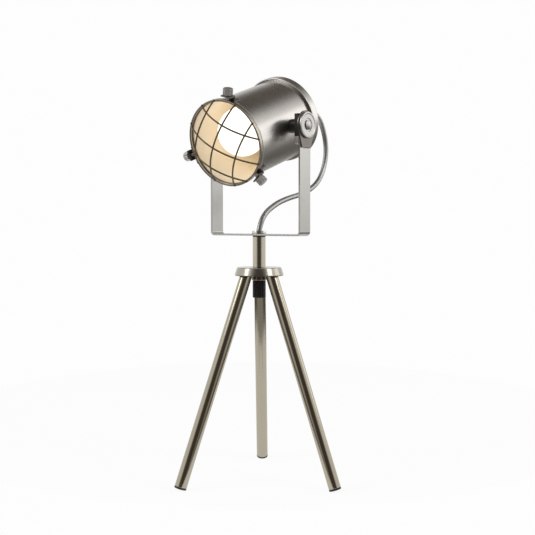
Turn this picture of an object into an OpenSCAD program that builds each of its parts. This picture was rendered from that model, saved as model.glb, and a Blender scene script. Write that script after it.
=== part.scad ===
// Tabletop searchlight lamp: a drum-shaped head with a domed wire guard hangs in a strap yoke
// that turns on a short post, over three splayed tubular legs. Millimetres, +Z up. The origin is
// on the floor in the middle of the footprint. The head looks to the left of -Y and a little down.

/* [Placement] */
// Post's distance to the right of the middle of the footprint
post_x = 1.6; // [-8:0.1:8]
// Post's distance behind the middle of the footprint
post_y = -11.9; // [-20:0.1:4]

/* [Tripod] */
// Distance from the post's axis to each leg's axis at the floor
foot_circle_r = 109.1; // [95:0.1:125]
// Distance from the post's axis to each leg's axis at the underside of the hub
leg_top_r = 18.5; // [17.9:0.1:19.5]
// Height of the hub's underside above the floor
hub_under_z = 258; // [225:1:290]
// Outer diameter of a leg tube
leg_d = 15; // [13:0.1:15.4]
// Inner diameter of a leg tube
leg_bore_d = 12; // [10:0.1:12.5]
// Length of the solid insert at the top of a leg tube
leg_plug_h = 26; // [20:1:34]
// Turn of the tripod about the post, clockwise from above, in degrees
tripod_turn = 1.7; // [-5:0.1:5]
// Thickness of the foot's flange under the tube's end
foot_t = 2.4; // [1.6:0.1:4]
// Length of the foot's plug inside the tube
foot_plug_h = 9; // [5:0.5:14]
// Depth of the flat worn on the foot's inner edge
foot_flat = 0.4; // [0.2:0.1:0.6]
// Diameter of the stud that screws a leg to the hub
stud_d = 8; // [6:0.5:8.5]
// Length of the stud inside the leg
stud_grip = 16; // [12:0.5:18]

/* [Hub] */
// Diameter of the hub disc at its underside
hub_under_d = 61.2; // [57:0.1:66]
// Diameter of the hub disc at its top
hub_top_d = 55; // [52:0.1:57]
// Height of the hub disc
hub_h = 10.3; // [9:0.1:13]
// Height of the upright land at the hub's lower edge
hub_land = 1.2; // [0.6:0.1:2.5]
// Diameter of the collar nut below the hub
collar_d = 18.8; // [17:0.1:20]
// Height of the collar nut
collar_h = 6; // [5:0.1:8]

/* [Post] */
// Outer diameter of the post tube
post_d = 16.3; // [14.5:0.1:20]
// Height of the post tube
post_h = 38.4; // [30:0.1:60]
// Outer diameter of the hollow threaded rod that ties hub, post and yoke together
rod_d = 12; // [11:0.1:12.8]
// Diameter of the wire way through the rod
rod_bore_d = 8.4; // [7.8:0.1:9]
// Length of the rod below the hub's underside
rod_tail = 3; // [2:0.1:4]
// Thickness of the swivel washer between post and yoke
washer_t = 1; // [0.6:0.1:2]
// Diameter of the round nut on top of the yoke
nut_d = 18; // [16:0.1:20]
// Height of the round nut
nut_h = 4; // [3:0.1:6]
// Edge chamfer of the round nut
nut_edge = 0.6; // [0.2:0.1:1]

/* [Switch] */
// Diameter of the ribbed switch knob
knob_d = 16.6; // [14:0.1:18]
// Length of the switch knob
knob_h = 21.2; // [16:0.1:28]
// Number of ribs round the knob
knob_ribs = 20; // [14:1:24]
// Diameter of a groove between two ribs
knob_groove_d = 1.5; // [0.8:0.1:1.7]
// Depth of the dished end of the knob
knob_dish = 0.8; // [0.4:0.1:2]
// Diameter of the switch spindle
spindle_d = 6; // [4:0.1:7]
// Length of the spindle inside the knob
spindle_grip = 12; // [8:0.5:14]
// Gap between the knob and the collar nut
knob_gap = 0.5; // [0.3:0.1:0.9]

/* [Yoke] */
// Gap between the drum and the inner face of an arm
yoke_gap = 16.9; // [15.4:0.1:20]
// Width of the yoke strap
strap_w = 22.5; // [20:0.1:26]
// Thickness of the yoke strap
strap_t = 2.2; // [1.8:0.1:3.6]
// Inner radius of the bends at the foot of the arms
bend_r = 3; // [1.5:0.1:6]
// Height of the tilt axis above the strap's underside
arm_h = 133; // [122:0.1:150]
// Turn of the yoke about the post, clockwise from above, in degrees
yoke_turn = 36.6; // [0:0.1:60]

/* [Tilt joint] */
// Diameter of the pivot plate's round end
plate_d = 35; // [32:0.5:38]
// Thickness of the pivot plate
plate_t = 2; // [1.2:0.1:3]
// Width of the pivot plate at its lower end
plate_foot_w = 18.5; // [14:0.5:20]
// Distance from the tilt axis down to the pivot plate's lower end
plate_drop = 27; // [24:0.5:34]
// Diameter of the pivot bolt
bolt_d = 6; // [5:0.1:7]
// Diameter of the bolt's head inside the drum
bolt_head_d = 14; // [11:0.1:16]
// Thickness of the bolt's head
bolt_head_t = 3.4; // [2.4:0.1:5]
// Diameter of the clamp disc outside the arm
disc_d = 31.5; // [28:0.5:34]
// Thickness of the clamp disc
disc_t = 3; // [2.4:0.1:5]
// Width of the raised rim of the clamp disc
disc_rim = 2; // [1:0.1:3]
// Height of the raised rim of the clamp disc
disc_rim_h = 0.5; // [0.3:0.1:1]
// Diameter of the recess round the cap nut
recess_d = 15.7; // [14.5:0.1:17]
// Depth of the recess round the cap nut
recess_t = 1.4; // [0.8:0.1:1.8]
// Diameter of the domed cap nut
cap_nut_d = 11.5; // [10:0.1:13]
// Height of the cap nut up to its dome
cap_nut_h = 1.7; // [1.5:0.1:4]
// Height of the cap nut's dome
cap_dome_h = 1.4; // [1:0.1:4]
// Diameter of the boss between the drum and the friction pad
boss_d = 17; // [15:0.1:20]
// Thickness of the friction pad on the arm's inner face
pad_t = 6; // [4:0.1:7]
// Height of the friction pad
pad_h = 27; // [24:0.5:30]
// Height of the ledge block below the friction pad
ledge_h = 9.4; // [7:0.1:12]

/* [Drum] */
// Outer diameter of the drum
drum_d = 100.6; // [96:0.1:104]
// Wall of the drum
drum_wall = 1; // [0.8:0.1:1.8]
// Distance from the tilt axis forward to the drum's mouth
mouth_w = 67.8; // [58:0.1:75]
// Length of the drum inside the rear cap
tail_grip = 8; // [5:0.1:10]
// Height of the rolled rim over the drum's outside
rim_h = 2.7; // [2.2:0.1:4]
// Thickness of the rolled rim
rim_t = 2.2; // [1.6:0.1:3]
// Pitch of the head below the horizontal, in degrees
head_pitch = 18.7; // [0:0.1:40]

/* [Rear cap] */
// Height of the rear cap over the drum's outside
cap_lip = 3.5; // [2.4:0.1:5]
// Wall of the rear cap
cap_wall = 1.4; // [1:0.1:2]
// Distance from the tilt axis back to the crown of the cap
cap_crown_w = 60; // [54:0.1:64]
// Length of the cap from its front edge to its crown
cap_h = 18; // [16:0.1:22]
// Rise of the cap's domed back
cap_rise = 4.6; // [3:0.1:5.4]
// Radius of the cap's rear corner
cap_corner_r = 3; // [2:0.1:3.8]
// Length of the thick rolled edge of the cap
cap_roll = 2.6; // [1.6:0.1:3.4]

/* [Guard] */
// Wall of the guard band
guard_wall = 1.4; // [1:0.1:2]
// Length of the guard band
guard_h = 4.4; // [3.6:0.1:12]
// Width of the guard band's front flange
guard_flange = 2.7; // [2.4:0.1:4.4]
// Thickness of the guard band's front flange
guard_flange_t = 1.2; // [0.8:0.1:2]
// Diameter of the guard's wires
wire_d = 2; // [1.6:0.1:2.2]
// Rise of the domed guard in front of the band
guard_rise = 22.6; // [12:0.1:28]
// Depth of one set of wires behind the other
wire_lap = 1.2; // [0.9:0.1:1.4]
// Roll of the wire grid, clockwise from the front, in degrees
guard_roll = 31.4; // [0:0.1:60]
// Places of the three wires of a set, as shares of the wires' end circle
wire_shares = [-0.56, 0, 0.56];

/* [Thumb screws] */
// Clock angle of the first thumb screw, clockwise from the front, in degrees
screw_clock = 18; // [0:1:30]
// Number of thumb screws, brackets and rivets round the drum
screw_count = 3; // [3:1:3]
// Diameter of a thumb screw's head
screw_head_d = 12; // [11:0.1:13.6]
// Length of a thumb screw's head
screw_head_h = 7; // [6:0.1:11]
// Number of grooves round the head
screw_grooves = 12; // [10:1:20]
// Diameter of a groove in the head
screw_groove_d = 1.5; // [0.7:0.1:1.8]
// Diameter of a thumb screw's shank
screw_d = 4; // [3:0.1:5]
// Diameter of the collar under the head
screw_collar_d = 7; // [6.4:0.1:9]
// Thickness of the collar under the head
screw_collar_t = 1.4; // [0.8:0.1:2.4]
// Width of a bracket
bracket_w = 13.4; // [11:0.1:15]
// Thickness of a bracket
bracket_t = 1.6; // [1.2:0.1:2]
// Length of a bracket's foot along the drum
bracket_foot = 12; // [10:0.1:15]
// Gap under a bracket's arm to the guard band
bracket_rise = 4; // [2.5:0.1:5.5]
// Diameter of the rivet that holds a bracket
rivet_d = 4.4; // [3:0.1:5]
// Height of the rivet's head
rivet_h = 1.2; // [0.8:0.1:2]

/* [Bulb] */
// Diameter of the globe bulb
bulb_d = 60; // [50:0.5:64]
// Wall of the bulb's glass
glass_t = 1; // [0.8:0.1:1.4]
// Distance from the tilt axis forward to the globe's centre
bulb_w = 34; // [28:0.5:36]
// Lean of the lampholder and the bulb up out of the head's axis, in degrees
socket_lean = 3.1; // [0:0.1:4]
// Diameter of the bulb's neck
neck_d = 24; // [21:0.1:25]
// Distance from the tilt axis back to the top of the bulb's metal base
base_top_w = 5; // [4:0.1:9]
// Diameter of the bulb's metal base
base_d = 26; // [25:0.1:26.4]
// Length of the bulb's metal base
base_h = 24; // [20:0.1:25]
// Length of the insulator cone at the base's end
tip_h = 3; // [2:0.1:4]
// Diameter of the contact at the tip of the bulb
contact_d = 9; // [7:0.1:10]
// Thickness of the contact
contact_t = 1; // [0.8:0.1:1.6]

/* [Lampholder] */
// Outer diameter of the lampholder
holder_d = 40; // [36:0.1:46]
// Distance from the tilt axis back to the lampholder's mouth
holder_mouth_w = 4; // [2:0.1:4.5]
// Gap between the crown of the cap's outside and the lampholder's back
holder_stand = 2.6; // [2.4:0.1:4]
// Inner diameter of the screw shell
shell_d = 27; // [26.8:0.1:27.6]
// Wall of the screw shell
shell_t = 0.5; // [0.4:0.1:0.8]
// Radial gap between the screw shell and the lampholder's bore
shell_gap = 0.2; // [0.1:0.1:0.5]
// Outer diameter of the hollow nipple that ties lampholder, cap and cord grip together
nipple_d = 13; // [12:0.1:14]
// Wire way through the nipple
nipple_bore_d = 8; // [7.4:0.1:9]
// Length of the nipple inside the lampholder's back
nipple_grip = 4; // [2.5:0.1:5]
// Diameter of the cord grip
grip_d = 18; // [16:0.1:22]
// Length of the cord grip
grip_h = 9; // [7:0.1:10]
// Diameter of the cord grip at its small end
grip_end_d = 12; // [10.4:0.1:15]

/* [Cord] */
// Diameter of the cord between the head and the post
cord_d = 7; // [6.4:0.1:7.4]
// Depth of the cord inside the cord grip and inside the rod
cord_seat = 2; // [1:0.1:3]

/* [Fits] */
// Radial clearance of fixed pins and studs in their holes
fit = 0.05; // [0.02:0.01:0.1]
// Running clearance of the turning pieces
run = 0.05; // [0.02:0.01:0.09]
// Clearance between curved faces that pass each other
slack = 0.3; // [0.2:0.05:0.5]
// Overrun of every cut past the face it opens
cut = 1; // [0.5:0.1:2]

/* [Hidden] */

// Leg directions about the post, in degrees from +X
leg_angles = [210, 330, 90];
// Share of the hub's height that a stud reaches into it
stud_seat_share = 0.66;
leg_lean = atan((foot_circle_r - leg_top_r) / hub_under_z);
leg_len = hub_under_z / cos(leg_lean);
foot_end = (leg_d / 2 * sin(leg_lean) - foot_flat) / cos(leg_lean);
stud_seat = hub_h * stud_seat_share;
trim = 2 * foot_circle_r;

hub_top_z = hub_under_z + hub_h;
collar_z = hub_under_z - collar_h;
rod_low_z = hub_under_z - rod_tail;
post_top_z = hub_top_z + post_h;
strap_z = post_top_z + washer_t + run;
nut_z = strap_z + strap_t + run;
rod_top_z = nut_z + nut_h;
knob_top_z = collar_z - knob_gap;
pivot_z = strap_z + arm_h;

drum_r = drum_d / 2;
drum_in_r = drum_r - drum_wall;
rim_r = drum_r + rim_h;
cap_r = drum_r + cap_lip;
cap_edge_w = cap_crown_w - cap_h;
tail_w = cap_edge_w + tail_grip;
holder_back_w = cap_crown_w - holder_stand;
arm_in = drum_r + yoke_gap;
arm_out = arm_in + strap_t;
plate_out = arm_out + plate_t;
disc_in = plate_out + run;
disc_out = disc_in + disc_t;
nut_seat = disc_out - recess_t;
pad_in = arm_in - pad_t;
boss_out = pad_in - run;
head_seat = sqrt(pow(drum_in_r, 2) - pow(bolt_head_d / 2, 2));

guard_front_w = mouth_w + guard_h;
wire_end_r = rim_r - guard_flange / 2;
rim_back_w = mouth_w - rim_t;
bracket_in = rim_r + bracket_rise;
bracket_top = bracket_in + bracket_t;
screw_w = mouth_w + guard_h / 2;
bracket_reach = screw_w + screw_collar_d / 2 + bracket_t - rim_back_w;
screw_clocks = [for (i = [0 : screw_count - 1]) screw_clock + i * 360 / screw_count];

neck_gap_w = -base_top_w;
base_end_w = -base_top_w - base_h;
contact_w = base_end_w - tip_h - contact_t;
holder_floor_w = contact_w - contact_t;
holder_skew = holder_d * sin(socket_lean);
// Share of the globe's radius at which its flank leaves for the neck
flank_share = 0.72;

// Route of the cord in the yoke's middle plane: distance behind the post, height above the floor
cord_route = [[80, 468], [90, 470.5], [102, 472], [114, 472], [126, 469], [137, 462],
    [145, 450], [150, 437], [152, 423], [150, 409], [145, 396], [137, 384.5], [127, 376],
    [114, 369], [100, 364], [85, 360], [70, 357], [55, 353.5], [40, 349], [27, 343.5],
    [16, 337.5], [8, 330], [3, 322]];
cord_sides = 12;

// Turning the frames: legs stand round the post, the yoke turns on it, the head tilts in the yoke
module on_post() translate([post_x, post_y, 0]) children();
module leg_frame(angle) on_post() rotate([0, 0, angle - tripod_turn])
    translate([foot_circle_r, 0, 0]) rotate([0, -leg_lean, 0]) children();
module yoke_frame() on_post() rotate([0, 0, -yoke_turn]) children();
module head_frame() yoke_frame() translate([0, 0, pivot_z])
    rotate([90 + head_pitch, 0, 0]) children();
// The lampholder and the bulb lean up about the middle of the lampholder's back
module socket_frame() head_frame() translate([0, 0, -holder_back_w])
    rotate([-socket_lean, 0, 0]) translate([0, 0, holder_back_w]) children();
module at_clock(clock) rotate([0, 0, -clock]) children();
module both_sides() {
    children();
    mirror([1, 0, 0]) children();
}
// A tube along the tilt axis, from one distance to another
module on_axis(from, to, d) translate([from, 0, 0]) rotate([0, 90, 0])
    cylinder(h = to - from, d = d, $fn = 48);
module floor_cut() translate([-trim, -trim, -trim]) cube([2 * trim, 2 * trim, trim]);

// Tripod
module foot(angle) color("#1b1b1c") difference() {
    leg_frame(angle) translate([0, 0, foot_end]) {
        cylinder(h = foot_t, d = leg_d, $fn = 48);
        cylinder(h = foot_t + foot_plug_h, d = leg_bore_d - 2 * fit, $fn = 48);
    }
    floor_cut();
}
module leg(angle) color("#a79c88") difference() {
    leg_frame(angle) difference() {
        translate([0, 0, foot_end + foot_t])
            cylinder(h = leg_len + leg_d - foot_end - foot_t, d = leg_d, $fn = 48);
        translate([0, 0, foot_end])
            cylinder(h = leg_len - leg_plug_h - foot_end, d = leg_bore_d, $fn = 48);
        translate([0, 0, leg_len - stud_grip])
            cylinder(h = stud_grip + leg_d + cut, d = stud_d + 2 * fit, $fn = 32);
    }
    translate([-trim, -trim, hub_under_z]) cube([2 * trim, 2 * trim, trim]);
}
module leg_studs() color("#8e8a82") for (angle = leg_angles) leg_frame(angle)
    translate([0, 0, leg_len - stud_grip])
        cylinder(h = stud_grip + stud_seat, d = stud_d, $fn = 32);

// Hub
module hub_disc() color("#b3a993") difference() {
    on_post() translate([0, 0, hub_under_z]) rotate_extrude($fn = 96) difference() {
        polygon([[0, 0], [hub_under_d / 2, 0], [hub_under_d / 2, hub_land],
            [hub_top_d / 2, hub_h], [0, hub_h]]);
        translate([0, -cut]) square([rod_d / 2 + fit, hub_h + 2 * cut]);
    }
    for (angle = leg_angles) leg_frame(angle) translate([0, 0, leg_len - leg_d])
        cylinder(h = leg_d + stud_seat, d = stud_d + 2 * fit, $fn = 32);
}
module hub_collar() color("#5b5348") on_post() translate([0, 0, collar_z]) difference() {
    cylinder(h = collar_h, d = collar_d, $fn = 64);
    translate([0, 0, -cut]) cylinder(h = collar_h + 2 * cut, d = rod_d + 2 * fit, $fn = 48);
}

// Post
module post_tube() color("#b3a993") on_post() translate([0, 0, hub_top_z]) difference() {
    cylinder(h = post_h, d = post_d, $fn = 64);
    translate([0, 0, -cut]) cylinder(h = post_h + 2 * cut, d = rod_d + 2 * fit, $fn = 48);
}
module post_rod() color("#8e8a82") on_post() translate([0, 0, rod_low_z]) difference() {
    cylinder(h = rod_top_z - rod_low_z, d = rod_d, $fn = 48);
    translate([0, 0, -cut])
        cylinder(h = rod_top_z - rod_low_z + 2 * cut, d = rod_bore_d, $fn = 48);
}
module swivel_washer() color("#3a3a3a") on_post() translate([0, 0, post_top_z]) difference() {
    cylinder(h = washer_t, d = post_d, $fn = 64);
    translate([0, 0, -cut]) cylinder(h = washer_t + 2 * cut, d = rod_d + 2 * fit, $fn = 48);
}
module post_nut() color("#d8d6d0") on_post() translate([0, 0, nut_z]) rotate_extrude($fn = 64)
    difference() {
        polygon([[0, 0], [nut_d / 2 - nut_edge, 0], [nut_d / 2, nut_edge],
            [nut_d / 2, nut_h - nut_edge], [nut_d / 2 - nut_edge, nut_h], [0, nut_h]]);
        translate([0, -cut]) square([rod_d / 2 + fit, nut_h + 2 * cut]);
    }

// Switch
module switch_bushing() color("#6b6b6b") on_post() translate([0, 0, collar_z]) difference() {
    cylinder(h = collar_h - rod_tail - fit, d = rod_d, $fn = 48);
    translate([0, 0, -cut])
        cylinder(h = collar_h + 2 * cut, d = spindle_d + 2 * run, $fn = 32);
}
module switch_spindle() color("#9a9a9a") on_post()
    translate([0, 0, knob_top_z - spindle_grip])
        cylinder(h = spindle_grip + knob_gap + collar_h - rod_tail - fit, d = spindle_d, $fn = 32);
module switch_knob() color("#141414") on_post() translate([0, 0, knob_top_z - knob_h])
    difference() {
        linear_extrude(height = knob_h) difference() {
            circle(d = knob_d, $fn = 80);
            for (i = [0 : knob_ribs - 1]) rotate(i * 360 / knob_ribs)
                translate([knob_d / 2, 0]) circle(d = knob_groove_d, $fn = 16);
        }
        translate([0, 0, knob_h - spindle_grip])
            cylinder(h = spindle_grip + cut, d = spindle_d + 2 * fit, $fn = 32);
        translate([0, 0, -cut])
            cylinder(h = cut + knob_dish, d = knob_d - 4 * knob_groove_d, $fn = 48);
    }

// Yoke
module strap_profile() {
    translate([-arm_in + bend_r, 0]) square([2 * (arm_in - bend_r), strap_t]);
    both_sides() translate([arm_in - bend_r, bend_r + strap_t]) intersection() {
        difference() {
            circle(r = bend_r + strap_t, $fn = 48);
            circle(r = bend_r, $fn = 48);
        }
        translate([0, -bend_r - strap_t]) square(bend_r + strap_t);
    }
    both_sides() translate([arm_in, bend_r + strap_t])
        square([strap_t, arm_h - bend_r - strap_t]);
}
module yoke_strap() color("#c9c7c1") yoke_frame() difference() {
    translate([0, 0, strap_z]) union() {
        translate([0, strap_w / 2, 0]) rotate([90, 0, 0])
            linear_extrude(height = strap_w) strap_profile();
        both_sides() translate([0, 0, arm_h]) on_axis(arm_in, arm_out, strap_w);
    }
    translate([0, 0, strap_z - cut])
        cylinder(h = strap_t + 2 * cut, d = rod_d + 2 * run, $fn = 48);
    both_sides() translate([0, 0, pivot_z])
        on_axis(arm_in - cut, arm_out + cut, bolt_d + 2 * run);
}
// The plate's outline: a round end and two flanks that touch it
plate_corner = [plate_foot_w / 2, -plate_drop];
plate_reach = norm(plate_corner);
plate_r = plate_d / 2;
plate_touch = plate_corner * pow(plate_r / plate_reach, 2)
    + [plate_drop, plate_foot_w / 2]
        * (plate_r * sqrt(pow(plate_reach, 2) - pow(plate_r, 2)) / pow(plate_reach, 2));
module plate_outline() {
    circle(r = plate_r, $fn = 96);
    polygon([[-plate_corner.x, plate_corner.y], plate_corner, plate_touch,
        [-plate_touch.x, plate_touch.y]]);
}
module pivot_plate() translate([0, 0, pivot_z]) difference() {
    translate([arm_out, 0, 0]) rotate([90, 0, 90])
        linear_extrude(height = plate_t) plate_outline();
    on_axis(arm_out - cut, plate_out + cut, bolt_d + 2 * run);
}
module pivot_plate_right() color("#55504a") yoke_frame() pivot_plate();
module pivot_plate_left() color("#55504a") yoke_frame() mirror([1, 0, 0]) pivot_plate();
module friction_pads() color("#1e1d1c") yoke_frame() both_sides() translate([0, 0, pivot_z])
    difference() {
        translate([pad_in, -strap_w / 2, -pad_h / 2]) cube([pad_t, strap_w, pad_h]);
        on_axis(pad_in - cut, arm_in + cut, bolt_d + 2 * run);
    }
module ledge_blocks() color("#b9b7b2") yoke_frame() both_sides()
    translate([pad_in, -strap_w / 2, pivot_z - pad_h / 2 - ledge_h])
        cube([pad_t, strap_w, ledge_h]);

// Cord: a round tube swept along the route, from the cord grip to the rod's mouth
function head_point(w) = [w * cos(head_pitch), pivot_z + w * sin(head_pitch)];
function blend(a, b, c, d, t) = (2 * b + (c - a) * t + (2 * a - 5 * b + 4 * c - d) * t * t
    + (3 * b - a - 3 * c + d) * t * t * t) / 2;
grip_end_w = cap_crown_w + grip_h;
cord_start = head_point(grip_end_w - cord_seat);
cord_out = head_point(grip_end_w);
cord_end = [0, rod_top_z - cord_seat];
cord_in = [0, rod_top_z];
cord_knots = concat([cord_start, cord_out], cord_route, [cord_in, cord_end]);
cord_last = len(cord_knots) - 1;
cord_points = concat([cord_knots[0]],
    [for (i = [1 : cord_last - 2], t = [0, 0.5])
        blend(cord_knots[i - 1], cord_knots[i], cord_knots[i + 1], cord_knots[i + 2], t)],
    [cord_in, cord_end]);
cord_rings = len(cord_points);
function unit(v) = v / norm(v);
function cord_way(i) = i == 0 ? unit(cord_points[1] - cord_points[0])
    : i == cord_rings - 1 ? unit(cord_points[i] - cord_points[i - 1])
    : unit(cord_points[i + 1] - cord_points[i - 1]);
function cord_ring(i) = let (p = cord_points[i], way = cord_way(i))
    [for (k = [0 : cord_sides - 1]) let (a = k * 360 / cord_sides)
        [cos(a) * cord_d / 2, p.x - sin(a) * way.y * cord_d / 2,
            p.y + sin(a) * way.x * cord_d / 2]];
module head_cord() color("#a9a9a6") yoke_frame() polyhedron(
    points = [for (i = [0 : cord_rings - 1]) each cord_ring(i)],
    faces = concat(
        [[for (k = [0 : cord_sides - 1]) k]],
        [for (i = [0 : cord_rings - 2], k = [0 : cord_sides - 1])
            let (n = (k + 1) % cord_sides, a = i * cord_sides, b = a + cord_sides)
                each [[a + k, b + k, a + n], [a + n, b + k, b + n]]],
        [[for (k = [cord_sides - 1 : -1 : 0]) (cord_rings - 1) * cord_sides + k]]));

// Drum and rear cap, as profiles turned about the head's axis
module drum_shell() color("#8d8983") head_frame() difference() {
    rotate_extrude($fn = 128) {
        translate([drum_in_r, -tail_w]) square([drum_wall, tail_w + mouth_w]);
        translate([drum_in_r, rim_back_w]) square([rim_r - rim_t / 2 - drum_in_r, rim_t]);
        translate([rim_r - rim_t / 2, mouth_w - rim_t / 2]) circle(d = rim_t, $fn = 24);
    }
    both_sides() on_axis(drum_in_r - drum_r / 2, drum_r + cut, bolt_d + 2 * fit);
}
// The cap's profile, drawn inwards by an inset
module cap_profile(inset) {
    r = cap_r - inset;
    corner = cap_corner_r - inset;
    shoulder_w = cap_crown_w - cap_rise - cap_corner_r;
    dome_r = (pow(cap_r, 2) + pow(cap_rise, 2)) / (2 * cap_rise);
    intersection() {
        union() {
            translate([0, -cap_crown_w]) square([r - corner, cap_h + inset]);
            translate([0, -shoulder_w]) square([r, shoulder_w - cap_edge_w + inset]);
            translate([r - corner, -shoulder_w]) circle(r = corner, $fn = 32);
        }
        translate([0, dome_r - cap_crown_w]) circle(r = dome_r - inset, $fn = 256);
    }
}
module rear_cap() color("#86827b") head_frame() rotate_extrude($fn = 128) {
    difference() {
        cap_profile(0);
        cap_profile(cap_wall);
        translate([0, -cap_crown_w - cut])
            square([nipple_d / 2 + fit, cap_h + 2 * cut]);
    }
    translate([drum_r + fit, -cap_edge_w - cap_roll])
        square([cap_lip - fit, cap_roll]);
}

// Tilt joint: everything from the bolt's head to the cap nut turns with the drum
module pivot_bosses() color("#242220") head_frame() both_sides() difference() {
    on_axis(drum_in_r, boss_out, boss_d);
    translate([0, 0, -boss_d]) cylinder(h = 2 * boss_d, r = drum_r, $fn = 128);
    on_axis(drum_in_r, boss_out + cut, bolt_d + 2 * fit);
}
module pivot_bolts() color("#8e8a82") head_frame() both_sides() {
    on_axis(head_seat - bolt_head_t, head_seat, bolt_head_d);
    on_axis(head_seat - bolt_head_t, disc_out, bolt_d);
}
module clamp_disc() difference() {
    translate([disc_in, 0, 0]) rotate([0, 90, 0]) rotate_extrude($fn = 96) difference() {
        polygon([[0, 0], [disc_d / 2, 0], [disc_d / 2, disc_t], [disc_d / 2 - disc_rim, disc_t],
            [disc_d / 2 - disc_rim - disc_rim_h, disc_t - disc_rim_h],
            [0, disc_t - disc_rim_h]]);
        translate([0, disc_t - recess_t]) square([recess_d / 2, recess_t + cut]);
    }
    on_axis(disc_in - cut, disc_out + cut, bolt_d + 2 * fit);
}
module clamp_disc_right() color("#d2d0ca") head_frame() clamp_disc();
module clamp_disc_left() color("#d2d0ca") head_frame() mirror([1, 0, 0]) clamp_disc();
module cap_nuts() color("#dedcd6") head_frame() both_sides()
    translate([nut_seat, 0, 0]) rotate([0, 90, 0]) rotate_extrude($fn = 64) difference() {
        union() {
            square([cap_nut_d / 2, cap_nut_h]);
            intersection() {
                translate([0, cap_nut_h + cap_dome_h - cap_dome_r])
                    circle(r = cap_dome_r, $fn = 96);
                translate([0, cap_nut_h]) square([cap_nut_d, cap_dome_h]);
            }
        }
        translate([0, -cut]) square([bolt_d / 2 + fit, cut + recess_t + fit]);
    }
cap_dome_r = (pow(cap_nut_d / 2, 2) + pow(cap_dome_h, 2)) / (2 * cap_dome_h);

// Guard: a flanged band with three wires across and three along, bowed to one dome
module guard_band() color("#57504a") head_frame() translate([0, 0, mouth_w])
    rotate_extrude($fn = 128) {
        translate([rim_r - guard_wall, 0]) square([guard_wall, guard_h]);
        translate([rim_r - guard_flange, guard_h - guard_flange_t])
            square([guard_flange, guard_flange_t]);
    }
function dome_radius(rise) = (pow(wire_end_r, 2) + pow(rise, 2)) / (2 * rise);
// One wire of a set: an arc of the dome's circle in its own plane, longer than it needs to be
module guard_wire(share, rise) {
    offset_x = share * wire_end_r;
    dome_r = dome_radius(rise);
    arc_r = sqrt(pow(dome_r, 2) - pow(offset_x, 2));
    half = asin(wire_end_r / dome_r);
    translate([offset_x, 0, guard_front_w + rise - dome_r]) rotate([90, 0, 90])
        rotate([0, 0, 90 - half]) rotate_extrude(angle = 2 * half, $fn = 128)
            translate([arc_r, 0]) circle(d = wire_d, $fn = 16);
}
module guard_wires() color("#4a4136") head_frame() intersection() {
    rotate([0, 0, -guard_roll]) {
        for (share = wire_shares) guard_wire(share, guard_rise);
        rotate([0, 0, 90]) for (share = wire_shares) guard_wire(share, guard_rise - wire_lap);
    }
    translate([0, 0, guard_front_w])
        cylinder(h = guard_rise + wire_d + cut, r = rim_r, $fn = 96);
}
module guard_brackets() color("#4c4741") head_frame() for (clock = screw_clocks)
    at_clock(clock) difference() {
        translate([-bracket_w / 2, 0, rim_back_w - slack]) rotate([90, 0, 90])
            linear_extrude(height = bracket_w) polygon([
                [drum_in_r, 0], [drum_in_r, -bracket_foot],
                [drum_r + bracket_t, -bracket_foot], [drum_r + bracket_t, -bracket_t],
                [bracket_top, -bracket_t], [bracket_top, bracket_reach],
                [bracket_in, bracket_reach], [bracket_in, 0]]);
        translate([0, 0, rim_back_w - 2 * bracket_foot])
            cylinder(h = 2 * bracket_foot, r = drum_r, $fn = 128);
        translate([0, 0, screw_w]) rotate([-90, 0, 0])
            cylinder(h = bracket_top + cut, d = screw_d + 2 * run, $fn = 32);
    }
rivet_w = rim_back_w - slack - (bracket_foot + bracket_t) / 2;
module bracket_rivets() color("#77716a") head_frame() for (clock = screw_clocks)
    at_clock(clock) translate([0, drum_r + bracket_t, rivet_w]) rotate([-90, 0, 0])
        intersection() {
            cylinder(h = rivet_h, d = rivet_d, $fn = 32);
            translate([0, 0, rivet_h - rivet_d]) sphere(r = rivet_d, $fn = 64);
        }
module thumb_screw(clock) color("#b5b2ac") head_frame() at_clock(clock)
    translate([0, 0, screw_w]) rotate([-90, 0, 0]) {
        translate([0, 0, rim_r + run])
            cylinder(h = bracket_top - rim_r + screw_collar_t, d = screw_d, $fn = 32);
        translate([0, 0, bracket_top + run])
            cylinder(h = screw_collar_t, d = screw_collar_d, $fn = 32);
        translate([0, 0, bracket_top + run + screw_collar_t])
            linear_extrude(height = screw_head_h) difference() {
                circle(d = screw_head_d, $fn = 64);
                for (i = [0 : screw_grooves - 1]) rotate(i * 360 / screw_grooves)
                    translate([screw_head_d / 2, 0]) circle(d = screw_groove_d, $fn = 16);
            }
    }

// Lampholder
// Leans with the bulb, but stands flat on the cap's side and takes the nipple square
module lampholder_body() color("#e4dfd2") difference() {
    socket_frame() translate([0, 0, -holder_back_w - holder_skew]) difference() {
        cylinder(h = holder_back_w + holder_skew - holder_mouth_w, d = holder_d, $fn = 64);
        translate([0, 0, holder_back_w + holder_skew + holder_floor_w])
            cylinder(h = trim, d = shell_d + 2 * (shell_t + shell_gap), $fn = 64);
    }
    head_frame() translate([0, 0, -holder_back_w]) {
        translate([0, 0, -trim]) cylinder(h = trim, d = 2 * holder_d, $fn = 64);
        translate([0, 0, -cut]) cylinder(h = cut + nipple_grip, d = nipple_d + 2 * fit, $fn = 48);
        translate([0, 0, -cut])
            cylinder(h = holder_back_w, d = nipple_bore_d / 2, $fn = 32);
    }
}
module screw_shell() color("#c8a45a") socket_frame() translate([0, 0, holder_floor_w])
    difference() {
        cylinder(h = base_end_w + base_h - holder_floor_w, d = shell_d + 2 * shell_t, $fn = 64);
        translate([0, 0, shell_t])
            cylinder(h = base_h - holder_floor_w, d = shell_d, $fn = 64);
        translate([0, 0, -cut]) cylinder(h = shell_t + 2 * cut, d = 2 * contact_d, $fn = 48);
    }
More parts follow.
